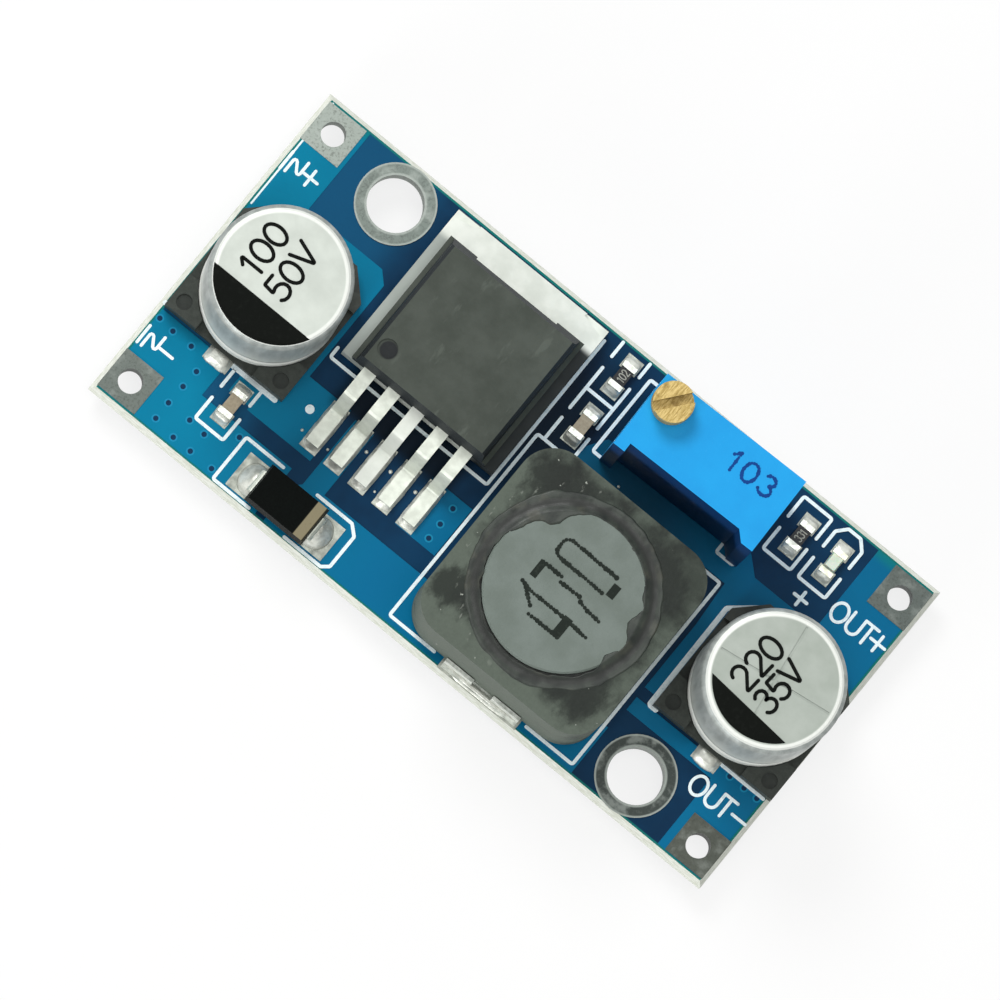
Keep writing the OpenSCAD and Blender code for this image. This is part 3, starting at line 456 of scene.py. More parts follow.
def baseFinish(name, node):
    # moulded base with round ejector marks near its corners
    size = {"markR": 0.45, "markIn": 0.75}
    low, high = nodeBox(node)
    p = Paint(name, gloss=0.25)
    grain = p.noise(0.35, detail=6, rough=0.65)
    middle = (low + high) / 2
    reach = (high.x - low.x) / 2 - size["markIn"]
    across = (abs(p.axis(0) - middle.x) - reach).maths("POWER", 2.0)
    along = (abs(p.axis(1) - middle.y) - reach).maths("POWER", 2.0)
    mark = (across + along).maths("SQRT").below(size["markR"], 0.05)
    base = p.mix(grain.above(0.5, 0.2), "#333833", "#282D28")
    p.set(base=p.mix(mark * 0.8, base, "#1D221E"), rough=0.45 + grain * 0.15, normal=p.bump(grain, 0.015))
    return p


def epoxyFinish():
    tones = {"top": "#454B44", "dark": "#373D36", "scuff": "#5A6159", "pit": "#14181A"}
    size = {"markR": 0.5, "markIn": 1.35}
    low = nodeBox("regulator_body")[0]
    p = Paint("epoxy", gloss=0.25)
    grain = p.noise(0.16, detail=6, rough=0.7)
    cloud = p.noise(1.5, detail=4, seed=4)
    scuff = p.noise(0.7, detail=6, stretch=(1, 0.35, 1), turn=(0, 0, 0.6), seed=7).above(0.66, 0.06)
    base = p.mix(cloud.above(0.5, 0.25), tones["dark"], tones["top"])
    base = p.mix(scuff * 0.45, base, tones["scuff"])
    # faces that don't look up are darker: shade painted into the sides
    base = p.mix(1 - p.facing().above(0.8, 0.1), base, "#23282A")
    mark = p.distance(low.x + size["markIn"], low.y + size["markIn"]).below(size["markR"], 0.06)
    base = p.mix(mark, base, tones["pit"])
    p.set(base=base, rough=0.52 + grain * 0.2, normal=p.bump(grain + scuff * 0.3, 0.018))
    return p


def diodeFinish():
    size = {"bandStart": -7.9, "bandEnd": -7.32}
    p = Paint("diodeBody", gloss=0.03)
    x = p.axis(0)
    grain = p.noise(0.14, detail=6, rough=0.7)
    band = x.above(size["bandStart"], 0.03) * x.below(size["bandEnd"], 0.03) * p.facing().above(0.6, 0.1)
    base = p.mix(grain.above(0.5, 0.2), "#030504", "#080C0A")
    base = p.mix(x.above(size["bandEnd"], 0.03), base, "#2E2A1C")
    p.set(base=p.mix(band * grain.above(0.28, 0.1), base, "#877F66"), rough=0.38 + grain * 0.2,
          normal=p.bump(grain, 0.015))
    return p


def ferriteFinish():
    # rough grey ferrite: a dark smear in each corner, a few bright scrapes, and pale edges that get
    # lighter towards -X and -Y, which is light painted into the colour
    centre, core = nodeCentre("inductor_shield"), nodeCentre("inductor_drum")
    # middles of the four smears, from the shield's centre
    smears = [(-4.5, -3.6), (4.6, -3.7), (3.5, 4.1), (-4.1, 4.2)]
    size = {"paleFrom": 4.9, "smearR": 1.35, "scrapeR": 5.7}
    tones = {"dark": "#1A1F1B", "mid": "#323932", "light": "#5C655B", "speck": "#A9AEA4"}
    p = Paint("ferrite", gloss=0.2)
    x, y = p.axis(0), p.axis(1)
    cloud = p.noise(1.9, detail=5, rough=0.6, seed=2)
    smear = p.noise(1.1, detail=5, rough=0.65, stretch=(1, 0.6, 1), turn=(0, 0, 0.5), seed=12)
    fine = p.noise(0.22, detail=6, rough=0.7)
    border = (abs(x - centre[0])).largest(abs(y - centre[1]))
    away = p.distance(core[0], core[1])
    lean = (centre[1] - y) * 0.12 + (centre[0] - x) * 0.09
    lit = (border * 0.9 + (cloud - 0.5) * 4 + lean).above(size["paleFrom"], 0.8)
    near = p.distance(centre[0] + smears[0][0], centre[1] + smears[0][1])
    for dx, dy in smears[1:]:
        near = near.smallest(p.distance(centre[0] + dx, centre[1] + dy))
    smeared = (near - (smear - 0.5) * 5).below(size["smearR"], 0.6)
    worn = p.noise(0.34, detail=5, stretch=(1, 0.5, 1), turn=(0, 0, 0.7), seed=9)
    scrape = (1 - abs(away - size["scrapeR"]).above(0.18, 0.1)) * worn.above(0.64, 0.05)
    base = p.mix(cloud.above(0.45, 0.15), tones["dark"], tones["mid"])
    base = p.mix(lit * (fine * 0.6 + 0.55), base, tones["light"])
    base = p.mix(smeared * 0.85, base, tones["dark"])
    base = p.mix(scrape * (centre[0] - x).above(1, 1.5) * 0.4, base, tones["speck"])
    base = p.mix(p.noise(0.5, detail=5, seed=9).above(0.73, 0.02), base, tones["speck"])
    p.set(base=base, rough=0.4 + fine * 0.3 + lit * 0.1, normal=p.bump(fine + cloud * 0.4, 0.035))
    return p


def drumFinish():
    p = Paint("drumFace", gloss=0.25)
    fine = p.noise(0.16, detail=6, rough=0.7)
    cloud = p.noise(1.8, detail=4, seed=6)
    base = p.mix(cloud.above(0.5, 0.2), "#67716A", "#727C76")
    base = p.mix(fine.above(0.62, 0.08) * 0.25, base, "#69736C")
    p.set(base=base, rough=0.5 + fine * 0.2, normal=p.bump(fine, 0.02))
    return p


def glueFinish():
    centre, grooveR = nodeCentre("inductor_drum"), 4.9
    p = Paint("ringGlue", coatRough=0.25, gloss=0.3)
    smear = p.noise(0.9, detail=5, stretch=(1, 0.7, 1), seed=3)
    streak = p.noise(1.6, detail=6, seed=8)
    away = p.distance(centre[0], centre[1]) + (smear - 0.5) * 0.35
    groove = 1 - abs(away - grooveR).above(0.2, 0.12)
    base = p.mix(smear.above(0.5, 0.12), "#1A201C", "#2A312A")
    base = p.mix(streak.above(0.57, 0.06) * 0.5, base, "#45463C")
    # a darker ring along the groove between drum and shield: shade painted into the crease
    base = p.mix(groove * 0.9, base, "#101410")
    p.set(base=base, rough=0.4 + smear * 0.3, coat=smear.above(0.5, 0.2) * 0.25,
          normal=p.bump(smear, 0.03))
    return p


def trimmerFinish():
    # blue plastic, with shade painted into the faces that look to -Y
    tones = {"blue": "#1B9FE2", "deep": "#1896DA", "edge": "#49B4EC", "shade": "#0B3566"}
    p = Paint("trimmerPlastic", gloss=0.13)
    grain = p.noise(0.12, detail=5, rough=0.65)
    cloud = p.noise(2.2, seed=1)
    base = p.mix(cloud.above(0.5, 0.3), tones["blue"], tones["deep"])
    base = p.mix(grain.above(0.66, 0.06) * 0.3, base, tones["edge"])
    base = p.mix((1 - p.facing().above(0.5, 0.2)) * p.facing(1).below(-0.5, 0.2), base, tones["shade"])
    p.set(base=base, rough=0.4 + grain * 0.15, normal=p.bump(grain, 0.008))
    return p


def screwFinish():
    p = Paint("brassScrew", metal=0.6, gloss=0.3)
    cut = p.noise(0.22, detail=5, rough=0.6, stretch=(3.2, 0.5, 1), turn=(0, 0, 0.45))
    pit = p.noise(0.5, detail=5, seed=4)
    base = p.mix(cut.above(0.5, 0.12), "#BFA970", "#A0894F")
    base = p.mix(pit.above(0.6, 0.08) * 0.6, base, "#7A6232")
    p.set(base=base, rough=0.45 + cut * 0.25, normal=p.bump(cut + pit * 0.5, 0.03))
    return p


def lensFinish():
    p = Paint("lampLens", soak=0.35, soakScale=0.0004, ior=1.5)
    cloud = p.noise(0.35, detail=3)
    p.set(base=p.mix(cloud.above(0.5, 0.2), "#DCE6D2", "#C6D8C0"), rough=0.18 + cloud * 0.15,
          normal=p.bump(cloud, 0.006))
    return p


solderMask = boardFinish()
copperMask = copperMaskFinish()
boardInk = inkFinish("boardInk", "#EEFAFC", "#CFE2E8")
canInk = inkFinish("canInk", "#080B08", "#101310", 0.05)
drumInk = inkFinish("drumInk", "#1A211C", "#29302A", 0.1)
trimmerInk = inkFinish("trimmerInk", "#0B3F86", "#0A3573", 0.1)
chipInk = inkFinish("chipInk", "#A8A89C", "#7C7C74")
solder = solderFinish()
tinned = metalFinish("tinnedLead", "#CED3C8", "#C0C5BA", 0.5, 0.5, 0.006, 0.45)
dress(solderMask, "circuit_board")
dress(platingFinish(), "mounting_rings")
dress(padFinish(), "terminal_pads")
dress(solder, "trimmer_joints")
# the output can's lid tones are darker than the input can's: light and shade painted into the colour
dress(canFinish("inputCan", "input_cap_can", "#C3C9C1", "#B4BAB2"), "input_cap_can")
dress(canFinish("outputCan", "output_cap_can", "#A2A9A1", "#959D94"), "output_cap_can")
dress(baseFinish("inputBase", "input_cap_base"), "input_cap_base")
dress(baseFinish("outputBase", "output_cap_base"), "output_cap_base")
dress(tinned, "input_cap_leads", "output_cap_leads", "regulator_leads", "diode_leads", "trimmer_pins")
dress(epoxyFinish(), "regulator_body")
dress(tabFinish(), "regulator_tab")
dress(ferriteFinish(), "inductor_shield")
dress(drumFinish(), "inductor_drum")
dress(glueFinish(), "inductor_glue")
dress(diodeFinish(), "diode_body")
dress(lensFinish(), "lamp_lens")
dress(trimmerFinish(), "trimmer_case")
dress(screwFinish(), "trimmer_screw")
# plain metals: light and dark tone, roughness, patch size, bump depth, metallic, nodes
for name, (light, dark, rough, size, depth, metal, nodes) in {
        "landTin": ("#A6AAA0", "#7C8078", 0.45, 0.5, 0.01, 0.5, ["solder_lands"]),
        "clipMetal": ("#E2E6DE", "#B2B7AF", 0.5, 0.4, 0.02, 0.3, ["inductor_clips"]),
        "copperWire": ("#C9763C", "#A85A2A", 0.25, 0.3, 0.01, 1.0, ["inductor_winding"]),
        "chipEnd": ("#DCDFD6", "#B7BAB0", 0.35, 0.25, 0.015, 0.7, [
            "bypass_cap_ends", "feedback_cap_ends", "divider_resistor_ends", "lamp_resistor_ends"]),
        "lampEnd": ("#DFE0CF", "#C2C3AE", 0.35, 0.25, 0.015, 0.6, ["lamp_ends"]),
        "wiperSpring": ("#D0AE62", "#B08D42", 0.3, 0.25, 0.01, 1.0, ["trimmer_wiper"])}.items():
    dress(metalFinish(name, light, dark, rough, size, depth, metal), *nodes)
# plain mouldings: light and dark tone, roughness, grain size, bump depth, nodes
for name, (light, dark, rough, size, depth, nodes) in {
        "ceramicChip": ("#AB9F88", "#988C76", 0.45, 0.2, 0.008, ["bypass_cap", "feedback_cap"]),
        "resistorChip": ("#1B1E20", "#121416", 0.4, 0.2, 0.008, ["divider_resistor", "lamp_resistor"]),
        "lampBase": ("#E4E6D4", "#D2D6C2", 0.5, 0.3, 0.006, ["lamp_base"]),
        "sealRubber": ("#1A1A1B", "#101011", 0.6, 0.2, 0.02, ["trimmer_seal"]),
        "wheelPlastic": ("#E6E2D2", "#D5D0BE", 0.45, 0.3, 0.008, ["trimmer_wheel"]),
        "alumina": ("#ECEAE2", "#DEDBD0", 0.65, 0.3, 0.01, ["trimmer_ceramic"]),
        "carbonTrack": ("#2A2622", "#1D1A17", 0.5, 0.15, 0.02, ["trimmer_track"]),
        "potting": ("#3C434B", "#2E343A", 0.35, 0.6, 0.02, ["trimmer_sealant"])}.items():
    dress(mouldedFinish(name, light, dark, rough, size, depth), *nodes)
print("finishes ready")


# ---- mesh helpers, all in millimetres

def piece(name, mesh, body="board", paint=None, smooth=False):
    mesh.name = name
    shell = bmesh.new()
    shell.from_mesh(mesh)
    bmesh.ops.recalc_face_normals(shell, faces=shell.faces)
    shell.to_mesh(mesh)
    shell.free()
    made = bpy.data.objects.new(name, mesh)
    scene.collection.objects.link(made)
    if paint:
        mesh.materials.clear()
        mesh.materials.append(paint.material)
    mesh.shade_smooth() if smooth else mesh.shade_flat()
    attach(made, body)
    return made


def meshOf(shapes):
    # joins (points, faces) pairs into one mesh, in metres
    points, faces = [], []
    for shapePoints, shapeFaces in shapes:
        start = len(points)
        points += [tuple(c * mm for c in p) for p in shapePoints]
        faces += [tuple(start + i for i in f) for f in shapeFaces]
    mesh = bpy.data.meshes.new("mesh")
    mesh.from_pydata(points, [], faces)
    mesh.validate()
    return mesh


def lofted(rings):
    # skins a list of equal rings, each listed anticlockwise from above, from the bottom up
    count = len(rings[0])
    points = [p for ring in rings for p in ring]
    faces = []
    for r in range(len(rings) - 1):
        for i in range(count):
            j = (i + 1) % count
            faces.append((r * count + i, r * count + j, (r + 1) * count + j, (r + 1) * count + i))
    for ringIndex in (0, len(rings) - 1):
        ring = rings[ringIndex]
        middle = len(points)
        points.append(tuple(sum(p[k] for p in ring) / count for k in range(3)))
        for i in range(count):
            a, b = ringIndex * count + i, ringIndex * count + (i + 1) % count
            faces.append((b, a, middle) if ringIndex == 0 else (a, b, middle))
    return points, faces


def sheet(rows, underRows, ring=False):
    # a closed shell between two equal grids of points; the rows of a ring close on themselves
    count = len(rows[0])
    offset = len(rows) * count
    upper = []
    for r in range(len(rows) - 1):
        for i in range(count if ring else count - 1):
            a, b = r * count + i, r * count + (i + 1) % count
            upper.append((a, b, b + count, a + count))
    edges = {(face[k - 1], face[k]) for face in upper for k in range(4)}
    sides = [(b, a, offset + a, offset + b) for a, b in sorted(edges) if (b, a) not in edges]
    lower = [tuple(offset + v for v in reversed(face)) for face in upper]
    return [p for row in rows + underRows for p in row], upper + lower + sides


def roundedRing(centre, half, z, count=36, square=5.0, wobble=0.0, seed=0):
    ring = []
    for i in range(count):
        a = 2 * math.pi * i / count
        c, s = math.cos(a), math.sin(a)
        r = (abs(c / half[0]) ** square + abs(s / half[1]) ** square) ** (-1 / square)
        r *= 1 + wobble * noise.noise(Vector((c * 1.7 + seed * 3.1, s * 1.7, seed * 1.7)))
        ring.append((centre[0] + r * c, centre[1] + r * s, z))
    return ring


def bead(foot, top, low, high, belly, levels=7, square=5.0, wobble=0.04, seed=0):
    # solder between a land's outline and a lead's: hollow where belly is over 1, domed under 1
    rings = []
    for i in range(levels + 1):
        t = i / levels
        centre = [a + (b - a) * t for a, b in zip(foot[0], top[0])]
        half = [a + (b - a) * t for a, b in zip(foot[1], top[1])]
        rings.append(roundedRing(centre, half, low + (high - low) * t ** belly, 36, square, wobble, seed))
    return lofted(rings)


def plate(outlines, low, high, soft=0.0):
    # a flat shape with holes, from closed outlines
    curve = bpy.data.curves.new("plate", "CURVE")
    curve.dimensions = "2D"
    curve.fill_mode = "BOTH"
    curve.extrude = (high - low) / 2 - soft
    curve.bevel_depth = soft
    curve.bevel_resolution = 1
    curve.offset = -soft
    for outline in outlines:
        spline = curve.splines.new("POLY")
        spline.points.add(len(outline) - 1)
        for point, (x, y) in zip(spline.points, outline):
            point.co = (x, y, 0, 1)
        spline.use_cyclic_u = True
    holder = bpy.data.objects.new("plate", curve)
    scene.collection.objects.link(holder)
    depsgraph = bpy.context.evaluated_depsgraph_get()
    mesh = bpy.data.meshes.new_from_object(holder.evaluated_get(depsgraph))
    bpy.data.objects.remove(holder)
    mesh.transform(Matrix.Scale(mm, 4) @ Matrix.Translation((0, 0, (low + high) / 2)))
    return mesh


def joined(meshes):
    shapes = []
    for mesh in meshes:
        points = [tuple(c / mm for c in v.co) for v in mesh.vertices]
        shapes.append((points, [tuple(f.vertices) for f in mesh.polygons]))
        bpy.data.meshes.remove(mesh)
    return meshOf(shapes)


def circle(centre, radius, count=48):
    return [(centre[0] + radius * math.cos(2 * math.pi * i / count),
             centre[1] + radius * math.sin(2 * math.pi * i / count)) for i in range(count)]


def arc(cx, cy, rx, ry, start, end, count=10):
    steps = [math.radians(start + (end - start) * i / count) for i in range(count + 1)]
    return [(cx + rx * math.cos(a), cy + ry * math.sin(a)) for a in steps]


def pathMesh(paths):
    # loose edges for a node tree to turn into strokes; a path that ends where it starts is closed
    points, edges = [], []
    for path in paths:
        start = len(points)
        closed = math.dist(path[0], path[-1]) < 1e-6
        path = path[:-1] if closed else path
        points += [tuple(c * mm for c in p) for p in path]
        edges += [(start + i, start + i + 1) for i in range(len(path) - 1)]
        if closed:
            edges.append((start + len(path) - 1, start))
    mesh = bpy.data.meshes.new("paths")
    mesh.from_pydata(points, edges, [])
    return mesh


def grown(mesh, group, **values):
    # runs a node tree on a mesh and returns the plain result
    holder = bpy.data.objects.new("grown", mesh)
    scene.collection.objects.link(holder)
    modifier = holder.modifiers.new("grow", "NODES")
    modifier.node_group = group
    for item in group.interface.items_tree:
        if item.item_type == "SOCKET" and item.in_out == "INPUT" and item.name in values:
            modifier[item.identifier] = values[item.name]
    depsgraph = bpy.context.evaluated_depsgraph_get()
    result = bpy.data.meshes.new_from_object(holder.evaluated_get(depsgraph))
    holder.modifiers.clear()
    bpy.data.objects.remove(holder)
    return result


# ---- node trees for what repeats: strokes, dots and vias

class Growth(Tree):
    def __init__(self, name, **sockets):
        super().__init__(bpy.data.node_groups.new(name, "GeometryNodeTree"))
        face = self.tree.interface
        face.new_socket(name="Geometry", in_out="OUTPUT", socket_type="NodeSocketGeometry")
        face.new_socket(name="Geometry", in_out="INPUT", socket_type="NodeSocketGeometry")
        for key, kind in sockets.items():
            face.new_socket(name=key, in_out="INPUT", socket_type="NodeSocket" + kind)
        self.source = self.tree.nodes.new("NodeGroupInput")
        self.end = self.tree.nodes.new("NodeGroupOutput")

    def given(self, name):
        return Signal(self, self.source.outputs[name])

    def join(self, *parts):
        joiner = self.tree.nodes.new("GeometryNodeJoinGeometry")
        for part in parts:
            self.tree.links.new(part.socket, joiner.inputs[0])
        return Signal(self, joiner.outputs[0])

    def finish(self, geometry):
        real = self.node("GeometryNodeRealizeInstances", {}, {0: geometry})
        inked = self.node("GeometryNodeSetMaterial", {}, {"Geometry": real, "Material": self.given("Ink")})
        self.tree.links.new(inked.socket, self.end.inputs[0])
        return self.tree


def strokeTree():
    t = Growth("inkStroke", Width="Float", Thickness="Float", Corner="Float", Ink="Material")
    line = t.node("GeometryNodeMeshToCurve", {}, {0: t.given("Geometry")})
    line = t.node("GeometryNodeFilletCurve", {"mode": "POLY"}, {
        "Curve": line, "Radius": t.given("Corner"), "Limit Radius": True, "Count": 3})
    level = t.node("GeometryNodeSetCurveNormal", {"mode": "Z_UP"}, {0: line})
    nib = t.node("GeometryNodeCurvePrimitiveQuadrilateral", {}, {
        "Width": t.given("Width"), "Height": t.given("Thickness")})
    band = t.node("GeometryNodeCurveToMesh", {}, {"Curve": level, "Profile Curve": nib, "Fill Caps": True})
    parts = [band]
    # a disc at each end, a little thicker than the band
    for first, last, depth in ((1, 0, 1.08), (0, 1, 1.04)):
        end = t.node("GeometryNodeCurveEndpointSelection", {}, {"Start Size": first, "End Size": last})
        dot = t.node("GeometryNodeMeshCylinder", {}, {
            "Vertices": 14, "Radius": t.given("Width") / 2.0, "Depth": t.given("Thickness") * depth})
        parts.append(t.node("GeometryNodeInstanceOnPoints", {}, {
            "Points": line, "Selection": end, "Instance": dot}))
    return t.finish(t.join(*parts))


def dotTree():
    t = Growth("dotPrint", Step="Float", Radius="Float", Thickness="Float", Shake="Float", Ink="Material")
    line = t.node("GeometryNodeMeshToCurve", {}, {0: t.given("Geometry")})
    points = t.node("GeometryNodeResampleCurve", {"mode": "LENGTH"}, {
        "Curve": line, "Length": t.given("Step")})
    shake = t.node("FunctionNodeRandomValue", {"data_type": "FLOAT_VECTOR"}, {
        0: (-1.0, -1.0, 0.0), 1: (1.0, 1.0, 0.0), "Seed": 5})
    shake = t.node("ShaderNodeVectorMath", {"operation": "SCALE"}, {0: shake, "Scale": t.given("Shake")})
    points = t.node("GeometryNodeSetPosition", {}, {"Geometry": points, "Offset": shake})
    dot = t.node("GeometryNodeMeshCylinder", {}, {
        "Vertices": 10, "Radius": t.given("Radius"), "Depth": t.given("Thickness")})
    size, rise = (
        t.node("FunctionNodeRandomValue", {"data_type": "FLOAT"}, {2: least, 3: most, "Seed": seed}, out=1)
        for least, most, seed in ((0.75, 1.2, 9), (0.8, 1.2, 2)))
    size = t.node("ShaderNodeCombineXYZ", {}, {0: size, 1: size, 2: rise})
    dots = t.node("GeometryNodeInstanceOnPoints", {}, {"Points": points, "Instance": dot, "Scale": size})
    return t.finish(dots)


def viaTree():
    t = Growth("vias", Radius="Float", Height="Float", Ink="Material")
    disc = t.node("GeometryNodeMeshCylinder", {}, {
        "Vertices": 20, "Radius": t.given("Radius"), "Depth": t.given("Height")})
    spots = t.node("GeometryNodeMeshToPoints", {}, {0: t.given("Geometry")})
    return t.finish(t.node("GeometryNodeInstanceOnPoints", {}, {"Points": spots, "Instance": disc}))


strokes, dots, vias = strokeTree(), dotTree(), viaTree()


# ---- copper under the mask

copper = {
    "rise": 0.03, "holeR": 0.95,
    "inPlus": [(-21.2, 10.12), (-18.5, 10.12), (-18.5, 4.75), (-13.3, 4.75), (-12.65, 4.1),
               (-12.65, -2.35), (-9.7, -2.35), (-9.7, -5.95), (-14.15, -5.95), (-14.15, -5.75),
               (-15.6, -5.75), (-15.6, -3.9), (-21.2, -3.9)],
    "inMinus": [(-21.2, -4.6), (-16.55, -4.6), (-16.55, -6.9), (-10.2, -6.9), (-10.2, -10.12),
                (-21.2, -10.12)],
    "switch": [(-9.2, -2.6), (-7.9, -2.6), (-7.9, -6.9), (12.15, -6.9), (12.15, -10.12), (-9.6, -10.12),
               (-9.6, -7.6), (-9.2, -7.2)],
    "enable": [(-3.95, -2.35), (-1.15, -2.35), (-1.15, -5.65), (-3.95, -5.65)],
    "outPlus": [(1.45, 3.3), (1.45, 4.3), (2.2, 5.4), (12.2, 5.5), (13.2, 4.6), (17.5, 4.6), (17.5, 10.12),
                (21.2, 10.12), (21.2, -3.9), (12.3, -3.9), (12.3, 0.5), (12.1, 3.3)],
    "outMinus": [(12.3, -4.6), (21.2, -4.6), (21.2, -10.12), (18.25, -10.12), (18.25, -5.5), (12.3, -5.5)],
}
pinRow = {"pitch": 2.54, "turn": math.radians(1.2)}
pinX, pinY, _ = nodeCentre("trimmer_pins")
pinSpots = [(pinX + i * pinRow["pitch"] * math.cos(pinRow["turn"]),
             pinY + i * pinRow["pitch"] * math.sin(pinRow["turn"])) for i in (-1, 0, 1)]
holesOf = {key: [circle((sx * padX, sy * padY), copper["holeR"], 32)] for key, sx, sy in (
    ("inPlus", -1, 1), ("inMinus", -1, -1), ("outPlus", 1, 1), ("outMinus", 1, -1))}
pours = [plate([copper[key]] + holesOf.get(key, []), boardTop - 0.01, boardTop + copper["rise"], 0.012)
         for key in ("inPlus", "inMinus", "switch", "enable", "outPlus", "outMinus")]
piece("copperPours", joined(pours), paint=copperMask)

underside = {"half": (21.2, 10.12), "padGap": 1.6, "pinGap": 0.95, "ringGap": 2.6, "rise": 0.03}


def groundOutline():
    # corners step in round the terminals, long sides bay in round the mounting rings
    hx, hy = underside["half"]
    gap = underside["ringGap"]
    outline = []
    for sx, sy in ((-1, -1), (1, -1), (1, 1), (-1, 1)):
        inX, inY = sx * (padX - underside["padGap"]), sy * (padY - underside["padGap"])
        steps = [(inX, sy * hy), (inX, inY), (sx * hx, inY)]
        outline += steps if sx != sy else steps[::-1]
        if sx == sy:
            ringX, ringY = ringSpots[0 if sx > 0 else 1]
            swing = math.degrees(math.asin((hy - abs(ringY)) / gap))
            turned = 180 * (sx < 0)
            outline += arc(ringX, ringY, gap, gap, swing + turned, turned - 180 - swing, 28)
    return outline


piece("groundPour", plate([groundOutline()] + [circle(c, underside["pinGap"], 32) for c in pinSpots],
                          -underside["rise"], 0.01, 0.012), paint=copperMask)
print("copper ready")

viaSpots = [
    (-21, -5.1), (-20, -5.2), (-18.7, -5.2), (-17.6, -6.1), (-17.65, -7.2), (-17.7, -8.4), (-17.7, -9.5),
    (-16.2, -8.4), (-15.1, -8.5), (-15.1, -9.7), (-16.3, -9.7), (-13.5, -7.4), (-13.6, -9.7),
    (-2, -3.0), (-2, -4.1), (-2, -5.1), (19.0, -4.75), (20.0, -4.75), (20.9, -4.75)]
viaPit = inkFinish("viaPit", "#073050", "#05263F", 0.1)
viaRim = inkFinish("viaRim", "#1685AC", "#0E7BA4", 0.1)
for viaName, viaPaint, viaRadius, viaHeight in (
        ("viaRims", viaRim, 0.24, 0.012), ("viaPits", viaPit, 0.15, 0.02)):
    spots = bpy.data.meshes.new(viaName)
    spots.from_pydata([(x * mm, y * mm, (boardTop + copper["rise"]) * mm) for x, y in viaSpots], [], [])
    viaMesh = grown(spots, vias, Radius=viaRadius * mm, Height=viaHeight * mm, Ink=viaPaint.material)
    piece(viaName, viaMesh, paint=viaPaint)


# ---- white print on the board

inkZ = boardTop + copper["rise"]
baseLow, outBaseLow = (nodeBox(node)[0].y for node in ("input_cap_base", "output_cap_base"))
tabRight, tabTop, _ = nodeBox("regulator_tab")[1]
lines = {
    "thick": 0.3, "normal": 0.195, "fine": 0.11, "depth": 0.03, "dot": (-11.5, -3.75), "dotR": 0.26,
    "bite": 0.005, "sunk": 0.006, "corner": 0.12,
    "thickPaths": [
        [(-16.3, baseLow - 0.13), (-13.3, baseLow - 0.13)], [(-21.3, -4.25), (-21.1, -4.25)],
        [(13.55, -4.5), (13.1, -4.5), (13.05, 2.3), (14.9, 3.85)],
    ],
    "paths": [
        [(17.6, outBaseLow - 0.1), (21.2, outBaseLow - 0.1)],
        [(-12.45, -0.15), (-12.45, -0.8), (tabRight + 0.12, -0.8), (tabRight + 0.12, tabTop - 0.4)],
        [(-10.6, -7.15), (-13.2, -7.15), (-13.2, -10.08), (-10.65, -10.08)],
        [(-8.2, -7.15), (-5.75, -7.15), (-5.2, -7.65), (-5.2, -9.75), (-5.6, -10.08), (-8.15, -10.08)],
        [(-16.05, -4.6), (-16.05, -5.85)], [(-14.15, -4.6), (-14.15, -5.7)],
        [(-16.05, -6.65), (-16.05, -8.1), (-14.1, -8.1), (-14.1, -6.65)],
        [(-0.55, 10.05), (-0.55, 9.05)], [(-0.55, 8.25), (-0.55, 5.4)], [(-0.55, 4.7), (-0.55, 3.2)],
        [(1.35, 10.05), (1.35, 9.1)], [(1.35, 8.25), (1.35, 5.45)], [(1.35, 4.7), (1.35, 3.5)],
        [(-0.5, 6.83), (1.3, 6.83)],
        [(2.5, 9.4), (1.92, 9.4), (1.92, 4.35), (2.9, 4.35)],
        [(10.65, 5.1), (10.65, 4.35), (11.8, 4.35), (11.85, 4.6)],
        [(12.47, 8.4), (12.47, 9.8), (14.45, 9.8), (14.45, 8.4)],
        [(12.5, 7.6), (12.5, 6.15), (14.42, 6.15), (14.42, 7.6)],
        [(15.0, 8.35), (15.0, 9.4), (15.5, 9.95), (16.35, 9.95), (16.87, 9.4), (16.87, 8.3)],
        [(14.97, 7.5), (14.97, 6.15), (16.87, 6.15), (16.87, 7.5)],
        [(2.15, -9.73), (-1.0, -9.73), (-1.0, 3.15), (11.9, 3.15), (11.9, -9.73), (8.65, -9.73)],
        [(15.85, 4.87), (15.85, 5.73)], [(15.42, 5.3), (16.28, 5.3)],
    ],
    "finePaths": [[(-21.14, 10.1), (-21.14, 3.0)]],
}


def raised(paths, z):
    # neighbours that cross lie on slightly different levels
    return [[(x, y, z + 0.003 * (i % 4)) for x, y in path] for i, path in enumerate(paths)]


# stroke letters on a box one unit high: width, then the strokes
letters = {
    "0": (0.62, [arc(0.31, 0.5, 0.31, 0.5, 90, 450, 20)]),
    "1": (0.4, [[(0.02, 0.74), (0.24, 1.0), (0.24, 0.0)]]),
    "2": (0.62, [arc(0.3, 0.7, 0.28, 0.3, 165, -35, 9) + [(0.02, 0.0), (0.62, 0.0)]]),
    "3": (0.6, [arc(0.29, 0.76, 0.25, 0.24, 150, -80, 8) + arc(0.29, 0.27, 0.3, 0.27, 80, -155, 10)]),
    "5": (0.6, [[(0.54, 1.0), (0.1, 1.0), (0.05, 0.56)] + arc(0.29, 0.31, 0.31, 0.31, 125, -145, 11)]),
    "V": (0.66, [[(0.0, 1.0), (0.33, 0.0), (0.66, 1.0)]]),
    "I": (0.1, [[(0.05, 0.0), (0.05, 1.0)]]),
    "N": (0.66, [[(0.0, 0.0), (0.0, 1.0), (0.66, 0.0), (0.66, 1.0)]]),
    "O": (0.8, [arc(0.4, 0.5, 0.4, 0.5, 90, 450, 20)]),
    "U": (0.66, [[(0.0, 1.0), (0.0, 0.35)] + arc(0.33, 0.33, 0.33, 0.33, 180, 360, 10) + [(0.66, 1.0)]]),
    "T": (0.7, [[(0.0, 1.0), (0.7, 1.0)], [(0.35, 1.0), (0.35, 0.0)]]),
    "+": (0.85, [[(0.425, 0.06), (0.425, 0.92)], [(0.0, 0.49), (0.85, 0.49)]]),
    "-": (0.8, [[(0.0, 0.45), (0.8, 0.45)]]),
}


